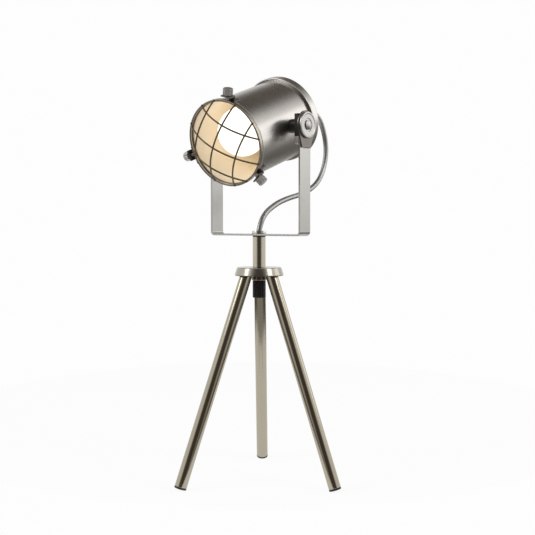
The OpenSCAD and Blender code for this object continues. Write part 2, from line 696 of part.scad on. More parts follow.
module shell_contact() color("#c8a45a") socket_frame() translate([0, 0, holder_floor_w])
    cylinder(h = contact_t, d = contact_d, $fn = 32);
module holder_nipple() color("#8e8a82") head_frame()
    translate([0, 0, -cap_crown_w - grip_h / 2]) difference() {
        cylinder(h = grip_h / 2 + holder_stand + nipple_grip, d = nipple_d, $fn = 48);
        translate([0, 0, -cut])
            cylinder(h = grip_h + holder_stand + nipple_grip, d = nipple_bore_d, $fn = 48);
    }
module cord_grip() color("#222222") head_frame() translate([0, 0, -grip_end_w])
    rotate_extrude($fn = 64) difference() {
        polygon([[0, 0], [grip_end_d / 2, 0], [grip_d / 2, grip_h * grip_taper_share],
            [grip_d / 2, grip_h], [0, grip_h]]);
        translate([0, -cut]) square([(cord_d + slack) / 2, grip_h + 2 * cut]);
        translate([0, grip_h / 2]) square([nipple_d / 2 + fit, grip_h]);
    }
// Share of the cord grip's length that tapers
grip_taper_share = 0.4;

// Bulb: a globe with straight flanks that run into the neck
module bulb_profile(inset) {
    r = bulb_d / 2 - inset;
    flank_y = -r * flank_share;
    flank_x = r * sqrt(1 - pow(flank_share, 2));
    translate([0, bulb_w]) intersection() {
        circle(r = r, $fn = 128);
        translate([0, flank_y]) square([r, 2 * r]);
    }
    polygon([[0, bulb_w + flank_y + inset], [0, neck_gap_w], [neck_d / 2 - inset, neck_gap_w],
        [neck_d / 2 - inset, neck_gap_w + neck_rise], [flank_x, bulb_w + flank_y],
        [0, bulb_w + flank_y]]);
}
// Length of the straight part of the neck
neck_rise = 4;
module bulb_glass() color("#fbf6e8") socket_frame() rotate_extrude($fn = 128) difference() {
    bulb_profile(0);
    bulb_profile(glass_t);
}
module bulb_base() color("#c9c6bd") socket_frame() translate([0, 0, base_end_w]) difference() {
    cylinder(h = base_h, d = base_d, $fn = 64);
    translate([0, 0, glass_t])
        cylinder(h = base_h, d = base_d - 2 * glass_t, $fn = 64);
}
module bulb_insulator() color("#2b2a33") socket_frame() translate([0, 0, base_end_w - tip_h])
    rotate_extrude($fn = 64)
        polygon([[0, 0], [contact_d / 2 + contact_t, 0], [base_d / 2 - contact_t, tip_h],
            [0, tip_h]]);
module bulb_contact() color("#b8b4aa") socket_frame() translate([0, 0, contact_w])
    cylinder(h = contact_t, d = contact_d, $fn = 32);

foot(leg_angles[0]);  // foot_left
foot(leg_angles[1]);  // foot_right
foot(leg_angles[2]);  // foot_back
leg(leg_angles[0]);  // leg_left
leg(leg_angles[1]);  // leg_right
leg(leg_angles[2]);  // leg_back
leg_studs();
hub_disc();
hub_collar();
switch_bushing();
post_tube();
post_rod();
swivel_washer();
post_nut();
switch_spindle();
switch_knob();
yoke_strap();
pivot_plate_left();
pivot_plate_right();
friction_pads();
ledge_blocks();
head_cord();
drum_shell();
rear_cap();
pivot_bosses();
pivot_bolts();
clamp_disc_left();
clamp_disc_right();
cap_nuts();
guard_band();
guard_wires();
guard_brackets();
bracket_rivets();
thumb_screw(screw_clocks[0]);  // thumb_screw_top
thumb_screw(screw_clocks[1]);  // thumb_screw_right
thumb_screw(screw_clocks[2]);  // thumb_screw_left
lampholder_body();
screw_shell();
shell_contact();
holder_nipple();
cord_grip();
bulb_glass();
bulb_base();
bulb_insulator();
bulb_contact();
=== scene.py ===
"""Tabletop searchlight lamp: the fine form and the finish of every piece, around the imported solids.

Sizes are in millimetres and are turned into metres when a form becomes a piece. Colours are linear.
"""

import logging
import math
from dataclasses import dataclass, field
from enum import Enum
from typing import Optional, Sequence, Union

import bmesh
import bpy
from mathutils import Matrix, Vector


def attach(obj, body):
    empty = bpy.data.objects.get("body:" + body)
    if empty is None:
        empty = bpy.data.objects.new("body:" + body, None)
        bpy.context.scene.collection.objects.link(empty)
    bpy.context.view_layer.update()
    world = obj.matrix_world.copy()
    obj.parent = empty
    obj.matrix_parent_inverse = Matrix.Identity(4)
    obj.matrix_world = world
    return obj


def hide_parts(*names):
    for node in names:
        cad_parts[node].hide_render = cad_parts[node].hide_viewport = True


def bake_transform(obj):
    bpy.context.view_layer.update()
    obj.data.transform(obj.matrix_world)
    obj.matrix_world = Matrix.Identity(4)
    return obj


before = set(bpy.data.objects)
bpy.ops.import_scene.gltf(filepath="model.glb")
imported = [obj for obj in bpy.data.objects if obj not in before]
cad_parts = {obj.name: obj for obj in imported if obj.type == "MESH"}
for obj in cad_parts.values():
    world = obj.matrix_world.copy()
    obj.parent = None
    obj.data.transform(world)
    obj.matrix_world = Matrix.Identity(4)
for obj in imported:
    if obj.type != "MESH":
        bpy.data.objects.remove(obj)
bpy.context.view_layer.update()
MM = 0.001
GAP = 0.02
JOIN = 1e-4
FLAT_SHADED_OVER = 35.0
SIDES = ((1, "right"), (-1, "left"))
LOG = logging.getLogger("searchlight")
Colour = tuple[float, float, float]
Point = tuple[float, float, float]
Outline = Sequence[tuple[float, float]]


class Body(Enum):
    """The moving bodies of the lamp."""

    STAND = "stand"
    SWITCH = "switch"
    YOKE = "yoke"
    HEAD = "head"
    SCREW_TOP = "screw_top"
    SCREW_RIGHT = "screw_right"
    SCREW_LEFT = "screw_left"


class Grain(Enum):
    """The way a finish is brushed on its piece."""

    ROUND = "round"
    LONG = "long"
    UV = "uv"
    NONE = "none"


# ---------------------------------------------------------------- places


def lift(height: float) -> Matrix:
    """A move along Z."""
    return Matrix.Translation((0, 0, height))


def turned(angle: float, axis: str) -> Matrix:
    """A turn about an axis, in degrees."""
    return Matrix.Rotation(math.radians(angle), 4, axis)


@dataclass(frozen=True)
class Places:
    """Where each frame of the lamp stands, in the row frame, and the sizes that pieces share."""

    post_x: float = 1.6
    post_y: float = -11.9
    yoke_turn: float = 36.6
    head_pitch: float = 18.7
    pivot_z: float = 440.75
    strap_z: float = 307.75
    strap_t: float = 2.2
    hub_under_z: float = 258.0
    hub_h: float = 10.3
    drum_r: float = 50.3
    rim_r: float = 53.0
    mouth_w: float = 67.8
    rim_t: float = 2.2
    guard_h: float = 4.4
    arm_in: float = 67.2
    crown_w: float = 60.0
    holder_back_w: float = 57.4
    socket_lean: float = 3.1

    def post(self, height: float = 0.0) -> Matrix:
        """Frame of the stand, upright on the post's axis."""
        return Matrix.Translation((self.post_x, self.post_y, height))

    def leg(self, angle: float, radius: float, lean: float) -> Matrix:
        """Frame of a leg that leans to the post from a radius at the floor, with Z up along its tube."""
        return self.post() @ turned(angle, "Z") @ Matrix.Translation((radius, 0, 0)) @ turned(-lean, "Y")

    def yoke(self, height: float = 0.0) -> Matrix:
        """Frame of the yoke: X towards the right arm, -Y to the front."""
        return self.post(height) @ turned(-self.yoke_turn, "Z")

    def head(self, along: float = 0.0) -> Matrix:
        """Frame of the head: X along the tilt axis, Y up, Z to the front."""
        return self.yoke(self.pivot_z) @ turned(90 + self.head_pitch, "X") @ lift(along)

    def socket(self) -> Matrix:
        """Frame of the lampholder and the bulb, which lean up about the lampholder's back."""
        back = lift(-self.holder_back_w)
        return self.head() @ back @ turned(-self.socket_lean, "X") @ back.inverted()

    def clock(self, angle: float, along: float) -> Matrix:
        """Frame at a clock angle on the head, seen from the front, with Y pointing out from its axis."""
        return self.head() @ turned(-angle, "Z") @ lift(along)

    def tilt_axis(self, side: int) -> Matrix:
        """Frame on the tilt axis with Z pointing out of the right or the left arm."""
        return self.head() @ turned(90 * side, "Y")


PLACES = Places()


# ---------------------------------------------------------------- shader maths


class Signal:
    """A shader value that can be used in sums and products."""

    def __init__(self, sheet: "Sheet", socket: bpy.types.NodeSocket) -> None:
        """Wraps an output of a node."""
        self.sheet = sheet
        self.socket = socket

    def _math(self, operation: str, *values: "Value", clamp: bool = False) -> "Signal":
        """Adds one Math node with its values in order."""
        return self.sheet.node("Math", dict(enumerate(values)), operation=operation, use_clamp=clamp)

    def __add__(self, other: "Value") -> "Signal":
        """This value plus another."""
        return self._math("ADD", self, other)

    __radd__ = __add__

    def __sub__(self, other: "Value") -> "Signal":
        """This value less another."""
        return self._math("SUBTRACT", self, other)

    def __rsub__(self, other: "Value") -> "Signal":
        """Another value less this one."""
        return self._math("SUBTRACT", other, self)

    def __mul__(self, other: "Value") -> "Signal":
        """This value times another."""
        return self._math("MULTIPLY", self, other)

    __rmul__ = __mul__

    def at_least(self, other: "Value") -> "Signal":
        """The larger of this value and another."""
        return self._math("MAXIMUM", self, other)

    def wave(self) -> "Signal":
        """The sine of this value."""
        return self._math("SINE", self)

    def within_one(self) -> "Signal":
        """This value kept within 0 and 1."""
        return self._math("ADD", self, 0.0, clamp=True)

    def ramp(self, low: float, high: float) -> "Signal":
        """0 below low and 1 above high, with a smooth step between."""
        inputs = {"Value": self, "From Min": low, "From Max": high}
        return self.sheet.node("MapRange", inputs, interpolation_type="SMOOTHSTEP")


Value = Union[float, Sequence[float], Signal]
Inputs = dict[Union[str, int], Value]


class Sheet:
    """The node tree of one material or of the world."""

    def __init__(self, owner: Union[bpy.types.Material, bpy.types.World]) -> None:
        """Starts on the owner's emptied tree.

        Args:
            owner: The material or the world.
        """
        owner.use_nodes = True
        self.tree = owner.node_tree
        self.tree.nodes.clear()

    def add(self, kind: str, inputs: Inputs, **settings: object) -> bpy.types.Node:
        """Adds a node.

        Args:
            kind: The node's type, without the words that every type begins with.
            inputs: Values, colours or links of its sockets, by name or index.
            **settings: Attributes that are set first, such as a Math node's operation.

        Returns:
            The node.
        """
        made = self.tree.nodes.new("ShaderNode" + kind)
        for name, value in settings.items():
            setattr(made, name, value)
        for name, value in inputs.items():
            socket = made.inputs[name]
            if isinstance(value, Signal):
                self.tree.links.new(value.socket, socket)
            else:
                socket.default_value = (*value, 1.0) if socket.type == "RGBA" else value
        return made

    def node(self, kind: str, inputs: Inputs, out: Union[str, int] = 0, **settings: object) -> Signal:
        """Adds a node and gives one of its outputs."""
        return Signal(self, self.add(kind, inputs, **settings).outputs[out])

    def parts(self, vector: Signal) -> list[Signal]:
        """The X, Y and Z of a vector."""
        return [Signal(self, out) for out in self.add("SeparateXYZ", {"Vector": vector}).outputs]

    def mix(self, factor: Value, first: Value, second: Value) -> Signal:
        """Mixes two colours by the share of the second one."""
        return self.node("Mix", {0: factor, 6: first, 7: second}, 2, data_type="RGBA")

    def noise(self, vector: Signal, scale: float, detail: float = 2.0, rough: float = 0.5) -> Signal:
        """Noise from 0 to 1 over a vector."""
        return self.node("TexNoise", {"Vector": vector, "Scale": scale, "Detail": detail, "Roughness": rough})

    def bump(self, height: Signal, strength: float, distance: float) -> Signal:
        """A surface normal that follows a height, with the distance in metres."""
        return self.node("Bump", {"Strength": strength, "Distance": distance, "Height": height})

    def stretched(self, vector: Signal, scale: Point) -> Signal:
        """A vector with its three parts scaled."""
        return self.node("Mapping", {"Vector": vector, "Scale": scale}, vector_type="POINT")

    def along(self) -> Signal:
        """The map that runs along a strap or a cord, in metres."""
        return self.node("UVMap", {}, uv_map="along")

    def place(self, matrix: Matrix) -> Signal:
        """Centres and turns Object coordinates on a frame of the lamp.

        Args:
            matrix: The frame, in millimetres in the row frame.

        Returns:
            The coordinates in that frame, in metres.
        """
        at = self.node("TexCoord", {}, "Object")
        inputs = {"Vector": at, "Location": matrix.translation * MM, "Rotation": matrix.to_euler("XYZ")}
        return self.node("Mapping", inputs, vector_type="TEXTURE")


# ---------------------------------------------------------------- finishes


def toned(colour: Colour, gain: float, rise: float = 0.0) -> Colour:
    """A colour made darker or lighter."""
    return tuple(min(1.0, c * gain + rise) for c in colour)


@dataclass(frozen=True)
class Finish:
    """One finish, made into a material when it is first used."""

    name: str
    slot: str
    colour: Colour

    def material(self) -> bpy.types.Material:
        """Makes the finish's material, or finds it again.

        Returns:
            The material.
        """
        made = bpy.data.materials.get(self.name)
        if made is None:
            made = bpy.data.materials.new(self.name)
            sheet = Sheet(made)
            sheet.add("OutputMaterial", {"Surface": sheet.node("BsdfPrincipled", self.dress(sheet))})
        return made

    def dress(self, sheet: Sheet) -> Inputs:
        """What the material's shader is given, by the names of its sockets."""
        raise NotImplementedError


@dataclass(frozen=True)
class Metal(Finish):
    """Brushed or polished metal with streaks, smudges and fine scratches."""

    rough: float = 0.3
    grain: Grain = Grain.ROUND
    matrix: Matrix = field(default_factory=PLACES.post)
    pitch: float = 2600.0
    streak: float = 0.12
    tone: float = 0.18
    bump: float = 0.25
    smudge: float = 0.06
    slow: float = 0.012
    cloud_scale: float = 38.0
    touch_scale: float = 120.0
    dark: float = 0.62
    light: float = 1.16
    bump_depth: float = 0.00005
    least_rough: float = 0.05

    def _grain_vector(self, sheet: Sheet) -> Signal:
        """Stretches the piece's coordinates along the way it is brushed.

        Args:
            sheet: The material's node tree.

        Returns:
            The vector for the brush lines.
        """
        fast, slow = self.pitch, self.pitch * self.slow
        if self.grain is Grain.UV:
            return sheet.stretched(sheet.along(), (fast, slow, 1.0))
        scales = {
            Grain.ROUND: (fast * 0.02, fast * 0.02, fast),
            Grain.LONG: (fast, fast, slow),
            Grain.NONE: (fast * 0.4,) * 3,
        }
        return sheet.stretched(sheet.place(self.matrix), scales[self.grain])

    def dress(self, sheet: Sheet) -> Inputs:
        """Works out what the material's shader is given.

        Args:
            sheet: The material's node tree.

        Returns:
            The values and links, by the names of the shader's sockets.
        """
        lines = sheet.noise(self._grain_vector(sheet), 1.0, 3.0, 0.6)
        at = sheet.place(self.matrix)
        cloud = sheet.noise(at, self.cloud_scale, 3.0, 0.55)
        touch = sheet.noise(at, self.touch_scale, 2.0, 0.6).ramp(0.55, 0.72)
        dark, light = toned(self.colour, self.dark), toned(self.colour, self.light)
        level = (lines - 0.5) * self.tone + (cloud - 0.5) * self.tone
        rough = (lines - 0.5) * self.streak + (cloud - 0.5) * self.smudge + touch * (self.smudge * 0.5)
        return {
            "Base Color": sheet.mix((level + 0.6).within_one(), dark, light),
            "Metallic": 1.0,
            "Roughness": (rough + self.rough).at_least(self.least_rough),
            "Normal": sheet.bump(lines, self.bump, self.bump_depth),
        }


@dataclass(frozen=True)
class Moulded(Finish):
    """Moulded plastic, rubber or fibre with a fine surface texture and some dust."""

    rough: float = 0.5
    matrix: Matrix = field(default_factory=PLACES.post)
    pebble_scale: float = 900.0
    dust_scale: float = 55.0
    dusty: float = 0.6
    bump: float = 0.2
    bump_depth: float = 0.0001

    def dress(self, sheet: Sheet) -> Inputs:
        """Works out what the material's shader is given.

        Args:
            sheet: The material's node tree.

        Returns:
            The values and links, by the names of the shader's sockets.
        """
        at = sheet.place(self.matrix)
        fine = sheet.noise(at, self.pebble_scale, 3.0, 0.6)
        dust = sheet.noise(at, self.dust_scale, 4.0, 0.6).ramp(0.45, 0.8)
        return {
            "Base Color": sheet.mix(dust * self.dusty, self.colour, toned(self.colour, 1.6, 0.015)),
            "Roughness": (fine - 0.5) * 0.15 + dust * 0.1 + self.rough,
            "Normal": sheet.bump(fine, self.bump, self.bump_depth),
        }


@dataclass(frozen=True)
class Enamel(Finish):
    """Sprayed enamel with a light orange peel, and an optional painted glow in its own colour that stands in for
    light falling on it.
    """

    rough: float = 0.42
    matrix: Matrix = field(default_factory=PLACES.head)
    # Painted light: an emission in the enamel's own colour, as if lit by the bulb.
    painted_glow: float = 0.0
    warmth: Colour = (0.97, 0.92, 0.84)
    peel_scale: float = 420.0
    cloud_scale: float = 26.0
    bump: float = 0.12
    bump_depth: float = 0.0001

    def dress(self, sheet: Sheet) -> Inputs:
        """Works out what the material's shader is given.

        Args:
            sheet: The material's node tree.

        Returns:
            The values and links, by the names of the shader's sockets.
        """
        at = sheet.place(self.matrix)
        peel = sheet.noise(at, self.peel_scale)
        cloud = sheet.noise(at, self.cloud_scale, 3.0)
        warm = tuple(c * k for c, k in zip(self.colour, self.warmth))
        return {
            "Base Color": sheet.mix(cloud, warm, self.colour),
            "Roughness": (peel - 0.5) * 0.1 + (cloud - 0.5) * 0.1 + self.rough,
            "Normal": sheet.bump(peel, self.bump, self.bump_depth),
            # Painted glow: the enamel emits its own colour, standing in for light that falls on it.
            **({"Emission Color": self.colour, "Emission Strength": self.painted_glow} if self.painted_glow else {}),
        }


@dataclass(frozen=True)
class FrostedGlass(Finish):
    """The lit frosted globe, brightest in the middle of its face."""

    strength: float = 1.2
    body: Colour = (0.5, 0.49, 0.46)
    edge: Colour = (1.0, 0.86, 0.62)
    edge_z: float = -0.006
    face_z: float = 0.034
    frost_scale: float = 700.0
    rough: float = 0.3
    bump: float = 0.06
    bump_depth: float = 0.00005

    def dress(self, sheet: Sheet) -> Inputs:
        """Works out what the material's shader is given.

        Args:
            sheet: The material's node tree.

        Returns:
            The values and links, by the names of the shader's sockets.
        """
        at = sheet.place(PLACES.socket())
        frost = sheet.noise(at, self.frost_scale)
        depth = sheet.parts(at)[2].ramp(self.edge_z, self.face_z)
        return {
            "Base Color": self.body,
            "Roughness": (frost - 0.5) * 0.1 + self.rough,
            "Emission Color": sheet.mix(depth, self.edge, self.colour),
            "Emission Strength": self.strength,
            "Normal": sheet.bump(frost, self.bump, self.bump_depth),
        }


@dataclass(frozen=True)
class Sleeve(Finish):
    """The cord: a clear jacket over a silver braid that crosses left and right."""

    strands: float = 10.0
    twist: float = 2600.0
    dark: float = 0.7
    rough: float = 0.26
    bump: float = 0.25
    bump_depth: float = 0.00015

    def dress(self, sheet: Sheet) -> Inputs:
        """Works out what the material's shader is given.

        Args:
            sheet: The material's node tree.

        Returns:
            The values and links, by the names of the shader's sockets.
        """
        across, run, _ = sheet.parts(sheet.along())
        turn = across * (2 * math.pi * self.strands)
        braid = ((turn + run * self.twist).wave() * (turn - run * self.twist).wave()) * 0.5 + 0.5
        return {
            "Base Color": sheet.mix(braid, toned(self.colour, self.dark), self.colour),
            "Metallic": 0.85,
            "Roughness": (1.0 - braid) * 0.12 + self.rough,
            "Normal": sheet.bump(braid, self.bump, self.bump_depth),
            "Coat Weight": 0.3,
            "Coat Roughness": 0.12,
        }


class Palette:
    """Every finish of the lamp."""

    head = PLACES.head()
    yoke = PLACES.yoke()
    post_at = PLACES.post()
    nickel = ((0.62, 0.595, 0.565), 0.28, Grain.ROUND, head, 1500.0, 0.06, 0.16, 0.12)
    # Dark grey: painted shade on the pivot plates, standing in for the dark reflection on them, and the colour of the
    # guard brackets.
    steel_grey = (0.55, 0.54, 0.52)
    dark_grey = (0.20, 0.18, 0.165)
    drum = Metal("drum_brushed", "drum_nickel", *nickel)
    # The cream inside of the drum gets a faint painted glow, standing in for the bulb's light on it.
    cream = Enamel("cream_enamel", "drum_nickel", (0.95, 0.85, 0.69), 0.42, head, 0.05)
    cap = Metal("cap_brushed", "cap_nickel", *nickel)
    leg = Metal("leg_satin", "warm_nickel", (0.46, 0.42, 0.335), 0.17, Grain.NONE, post_at, 900.0, 0.04, 0.1, 0.12)
    hub = Metal("hub_turned", "warm_nickel", (0.44, 0.415, 0.355), 0.21, Grain.ROUND, post_at, 2200.0, 0.07)
    post = Metal("post_satin", "warm_nickel", (0.60, 0.55, 0.46), 0.19, Grain.ROUND, post_at, 2200.0, 0.05)
    # The collar under the hub gets a dark colour as painted shade, for the shadow under the hub.
    collar = Metal("collar_painted_shade", "dark_bronze", (0.26, 0.22, 0.18), 0.34)
    steel = Metal("plain_turned", "plain_steel", steel_grey, 0.32)
    head_steel = Metal("plain_pin", "plain_steel", steel_grey, 0.32, Grain.NONE, head)
    bright = Metal("bright_turned", "bright_nickel", steel_grey, 0.36, Grain.NONE, head, 1200.0, 0.05, 0.08)
    nut = Metal("nut_bright", "bright_nickel", (0.80, 0.79, 0.76), 0.2, Grain.ROUND, post_at, 2200.0, 0.06)
    strap = Metal("strap_brushed", "strap_steel", (0.56, 0.55, 0.53), 0.38, Grain.UV, yoke, 1400.0, 0.14, 0.16)
    ledge = Metal("ledge_brushed", "strap_steel", (0.78, 0.77, 0.74), 0.55, Grain.LONG, yoke, 1600.0)
    # The pivot plates' dark colour is painted shade, standing in for the dark reflection that falls on them.
    plate = Metal("plate_painted_shade", "plate_dark", dark_grey, 0.34, Grain.LONG, yoke, 1600.0)
    bracket = Metal("bracket_darkened", "plate_dark", dark_grey, 0.36, Grain.NONE, head, 1400.0)
    guard = Metal("guard_bronzed", "guard_bronze", (0.17, 0.135, 0.085), 0.38, Grain.NONE, head, 1400.0)
    band = Metal("band_bronzed", "guard_bronze", (0.50, 0.45, 0.385), 0.3, Grain.ROUND, head, 1800.0)
    screw = Metal("screw_knurled", "screw_nickel", (0.58, 0.57, 0.56), 0.40, Grain.NONE, head, 1400.0)
    brass = Metal("shell_brassy", "shell_brass", (0.72, 0.55, 0.26), 0.28, Grain.ROUND, head)
    base = Metal("base_nickel", "bright_nickel", (0.72, 0.71, 0.68), 0.28, Grain.ROUND, head)
    foot = Moulded("foot_rubber", "foot_black", (0.018, 0.018, 0.019), 0.55)
    knob = Moulded("knob_moulded", "knob_black", (0.014, 0.014, 0.015), 0.36)
    grip = Moulded("grip_moulded", "knob_black", (0.016, 0.016, 0.017), 0.4, head)
    fibre = Moulded("fibre_black", "friction_black", (0.03, 0.028, 0.026), 0.5, yoke)
    boss = Enamel("boss_enamel", "boss_black", (0.035, 0.033, 0.03), 0.3)
    vitrite = Enamel("vitrite_black", "insulator_glass", (0.03, 0.03, 0.035), 0.2)
    ceramic = Enamel("holder_glaze", "holder_cream", (0.86, 0.82, 0.72), 0.25)
    glass = FrostedGlass("globe_frosted", "frosted_glass", (1.0, 0.985, 0.94))
    sleeve = Sleeve("cord_sleeved", "cord_sleeve", (0.48, 0.48, 0.47))


# ---------------------------------------------------------------- forms


def link(name: str, data: bpy.types.ID) -> bpy.types.Object:
    """Puts an object into the scene.

    Args:
        name: The object's name.
        data: Its mesh, camera or light.

    Returns:
        The object.
    """
    made = bpy.data.objects.new(name, data)
    bpy.context.scene.collection.objects.link(made)
    return made


def arc(centre: tuple[float, float], radius: float, start: float, stop: float, steps: int) -> Outline:
    """Points of an arc in an outline, both ends included, with angles in degrees."""
    turns = [math.radians(start + (stop - start) * i / steps) for i in range(steps + 1)]
    return [(centre[0] + radius * math.cos(a), centre[1] + radius * math.sin(a)) for a in turns]


def dress_solids(finish: Finish, *names: str) -> None:
    """Gives CAD nodes that stay in view their finish.

    Args:
        finish: The finish.
        *names: The nodes.
    """
    for name in names:
        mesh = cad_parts[name].data
        mesh.materials.clear()
        mesh.materials.append(finish.material())
        for face in mesh.polygons:
            face.material_index = 0


class Form:
    """A piece being shaped with mesh operators, in millimetres in its own frame."""

    def __init__(self) -> None:
        """Starts with nothing."""
        self.bm = bmesh.new()

    def lathe(self, outline: Outline, steps: int = 64) -> "Form":
        """Turns a closed outline about Z.

        Args:
            outline: Points as distance from the axis and height.
            steps: Steps of the full turn.

        Returns:
            The form itself.
        """
        verts = [self.bm.verts.new((r, 0, z)) for r, z in outline]
        edges = [self.bm.edges.new(pair) for pair in zip(verts, verts[1:] + verts[:1])]
        bmesh.ops.spin(
            self.bm, geom=verts + edges, cent=(0, 0, 0), axis=(0, 0, 1), dvec=(0, 0, 0),
            angle=2 * math.pi, steps=steps, use_merge=True,
        )
        bmesh.ops.remove_doubles(self.bm, verts=self.bm.verts, dist=JOIN)
        bmesh.ops.recalc_face_normals(self.bm, faces=self.bm.faces)
        return self

    def bar(self, size: Point, centre: Point) -> None:
        """Adds a block of a size about a centre."""
        bmesh.ops.create_cube(self.bm, size=1, matrix=Matrix.Translation(centre) @ Matrix.Diagonal((*size, 1)))

    def ball(self, radius: float, centre: Point, squeeze: float) -> None:
        """Adds a small ball, squeezed in height, such as a weld."""
        matrix = Matrix.Translation(centre) @ Matrix.Diagonal((1, 1, squeeze, 1))
        bmesh.ops.create_uvsphere(self.bm, u_segments=12, v_segments=8, radius=radius, matrix=matrix)

    def disc(self, radius: float, sides: int, matrix: Matrix = Matrix.Identity(4)) -> bmesh.types.BMFace:
        """Adds a flat disc and gives its face."""
        ring = bmesh.ops.create_circle(self.bm, cap_ends=True, radius=radius, segments=sides, matrix=matrix)["verts"]
        return next(f for f in self.bm.faces if set(ring) <= set(f.verts))

    def grow(self, faces: Sequence[bmesh.types.BMFace], vec: Point) -> None:
        """Extrudes faces.

        Args:
            faces: The faces.
            vec: How far the grown end moves.
        """
        grown = bmesh.ops.extrude_face_region(self.bm, geom=faces)["geom"]
        verts = [g for g in grown if isinstance(g, bmesh.types.BMVert)]
        bmesh.ops.translate(self.bm, vec=vec, verts=verts)

    def flute(self, radius: float, depth: float, count: int, height: float, sharp: float) -> "Form":
        """Adds an upright fluted cylinder from Z 0.

        Args:
            radius: Outer radius.
            depth: Depth of the flutes.
            count: Number of flutes.
            height: Height of the cylinder.
            sharp: Power that narrows the crests.

        Returns:
            The form itself.
        """
        face = self.disc(radius, count * 6)
        for vert in face.verts:
            turn = math.atan2(vert.co.y, vert.co.x) * count
            vert.co.xy *= 1 - depth / radius * (0.5 - 0.5 * math.cos(turn)) ** sharp
        self.grow([face], (0, 0, height))
        return self

    def arc_rod(self, arc_r: float, rod_r: float, half: float) -> "Form":
        """Adds a round rod bent to an arc in the XZ plane about the origin, bowed towards +Z.

        Args:
            arc_r: Radius of the arc.
            rod_r: Radius of the rod.
            half: Half of the arc's angle, in radians.

        Returns:
            The form itself.
        """
        start = Matrix.Rotation(-half, 4, "Y") @ lift(arc_r) @ turned(90, "Y")
        face = self.disc(rod_r, 12, start)
        bmesh.ops.spin(
            self.bm, geom=[face], cent=(0, 0, 0), axis=(0, 1, 0), dvec=(0, 0, 0), angle=2 * half,
            steps=40, use_merge=False,
        )
        return self

    def soften(self, width: float, segments: int = 3, over: float = 50.0) -> "Form":
        """Bevels every edge that is sharp enough.

        Args:
            width: Width of the bevel.
            segments: Steps across it.
            over: The angle between faces past which an edge counts, in degrees.

        Returns:
            The form itself.
        """
        edges = [e for e in self.bm.edges if len(e.link_faces) == 2 and e.calc_face_angle(0) > math.radians(over)]
        bmesh.ops.bevel(
            self.bm, geom=edges, offset=width, offset_type="OFFSET", affect="EDGES", segments=segments,
            profile=0.5, material=-1, clamp_overlap=True,
        )
        return self

    def cut_flat(self, point: Vector, normal: Vector) -> None:
        """Cuts off one side of a plane and closes the cut.

        Args:
            point: A point of the plane.
            normal: The way towards the side that goes.
        """
        geom = [*self.bm.verts, *self.bm.edges, *self.bm.faces]
        cut = bmesh.ops.bisect_plane(
            self.bm, geom=geom, dist=1e-5, plane_co=point, plane_no=normal, clear_outer=True
        )["geom_cut"]
        rim = [g for g in cut if isinstance(g, bmesh.types.BMEdge)]
        bmesh.ops.holes_fill(self.bm, edges=rim, sides=0)

    def move(self, matrix: Matrix) -> None:
        """Moves everything by a matrix."""
        bmesh.ops.transform(self.bm, matrix=matrix, verts=self.bm.verts)

    def add(self, other: "Form", matrix: Matrix = Matrix.Identity(4)) -> "Form":
        """Adds a copy of another form.

        Args:
            other: The other form.
            matrix: Its place in this one.

        Returns:
            The form itself.
        """
        mesh = bpy.data.meshes.new("copy")
        other.bm.to_mesh(mesh)
        mesh.transform(matrix)
        self.bm.from_mesh(mesh)
        bpy.data.meshes.remove(mesh)
        return self

    def settle(self, name: str, place: Matrix, *finishes: Finish) -> bpy.types.Object:
        """Turns the form into an object of the scene, in metres, with all faces pointing outwards.

        Args:
            name: The object's name.
            place: The frame that it was shaped in.
            *finishes: Its finishes, by face material index.

        Returns:
            The object.
        """
        self.move(Matrix.Scale(MM, 4) @ place)
        bmesh.ops.recalc_face_normals(self.bm, faces=self.bm.faces)
        for face in self.bm.faces:
            face.smooth = True
        mesh = bpy.data.meshes.new(name)
        self.bm.to_mesh(mesh)
        self.bm.free()
        for finish in finishes:
            mesh.materials.append(finish.material())
        return link(name, mesh)

    def piece(
        self, name: str, place: Matrix, body: Body, finish: Finish, *replaces: str, inside: Optional[Finish] = None
    ) -> None:
        """Turns the form into a piece of the lamp.

        Args:
            name: The piece's name.
            place: The frame that it was shaped in.
            body: The body that it rides on.
            finish: Its finish.
            *replaces: Solids that it stands for.
            inside: The finish of its faces with material index 1.
        """
        made = self.settle(name, place, finish, *([inside] if inside else []))
        made.data.set_sharp_from_angle(angle=math.radians(FLAT_SHADED_OVER))
        made.modifiers.new("flat_faces_first", "WEIGHTED_NORMAL").keep_sharp = True
        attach(made, body.value)
        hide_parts(*replaces)
        LOG.info("%s: %d faces on %s", name, len(made.data.polygons), body.value)


# ---------------------------------------------------------------- studio


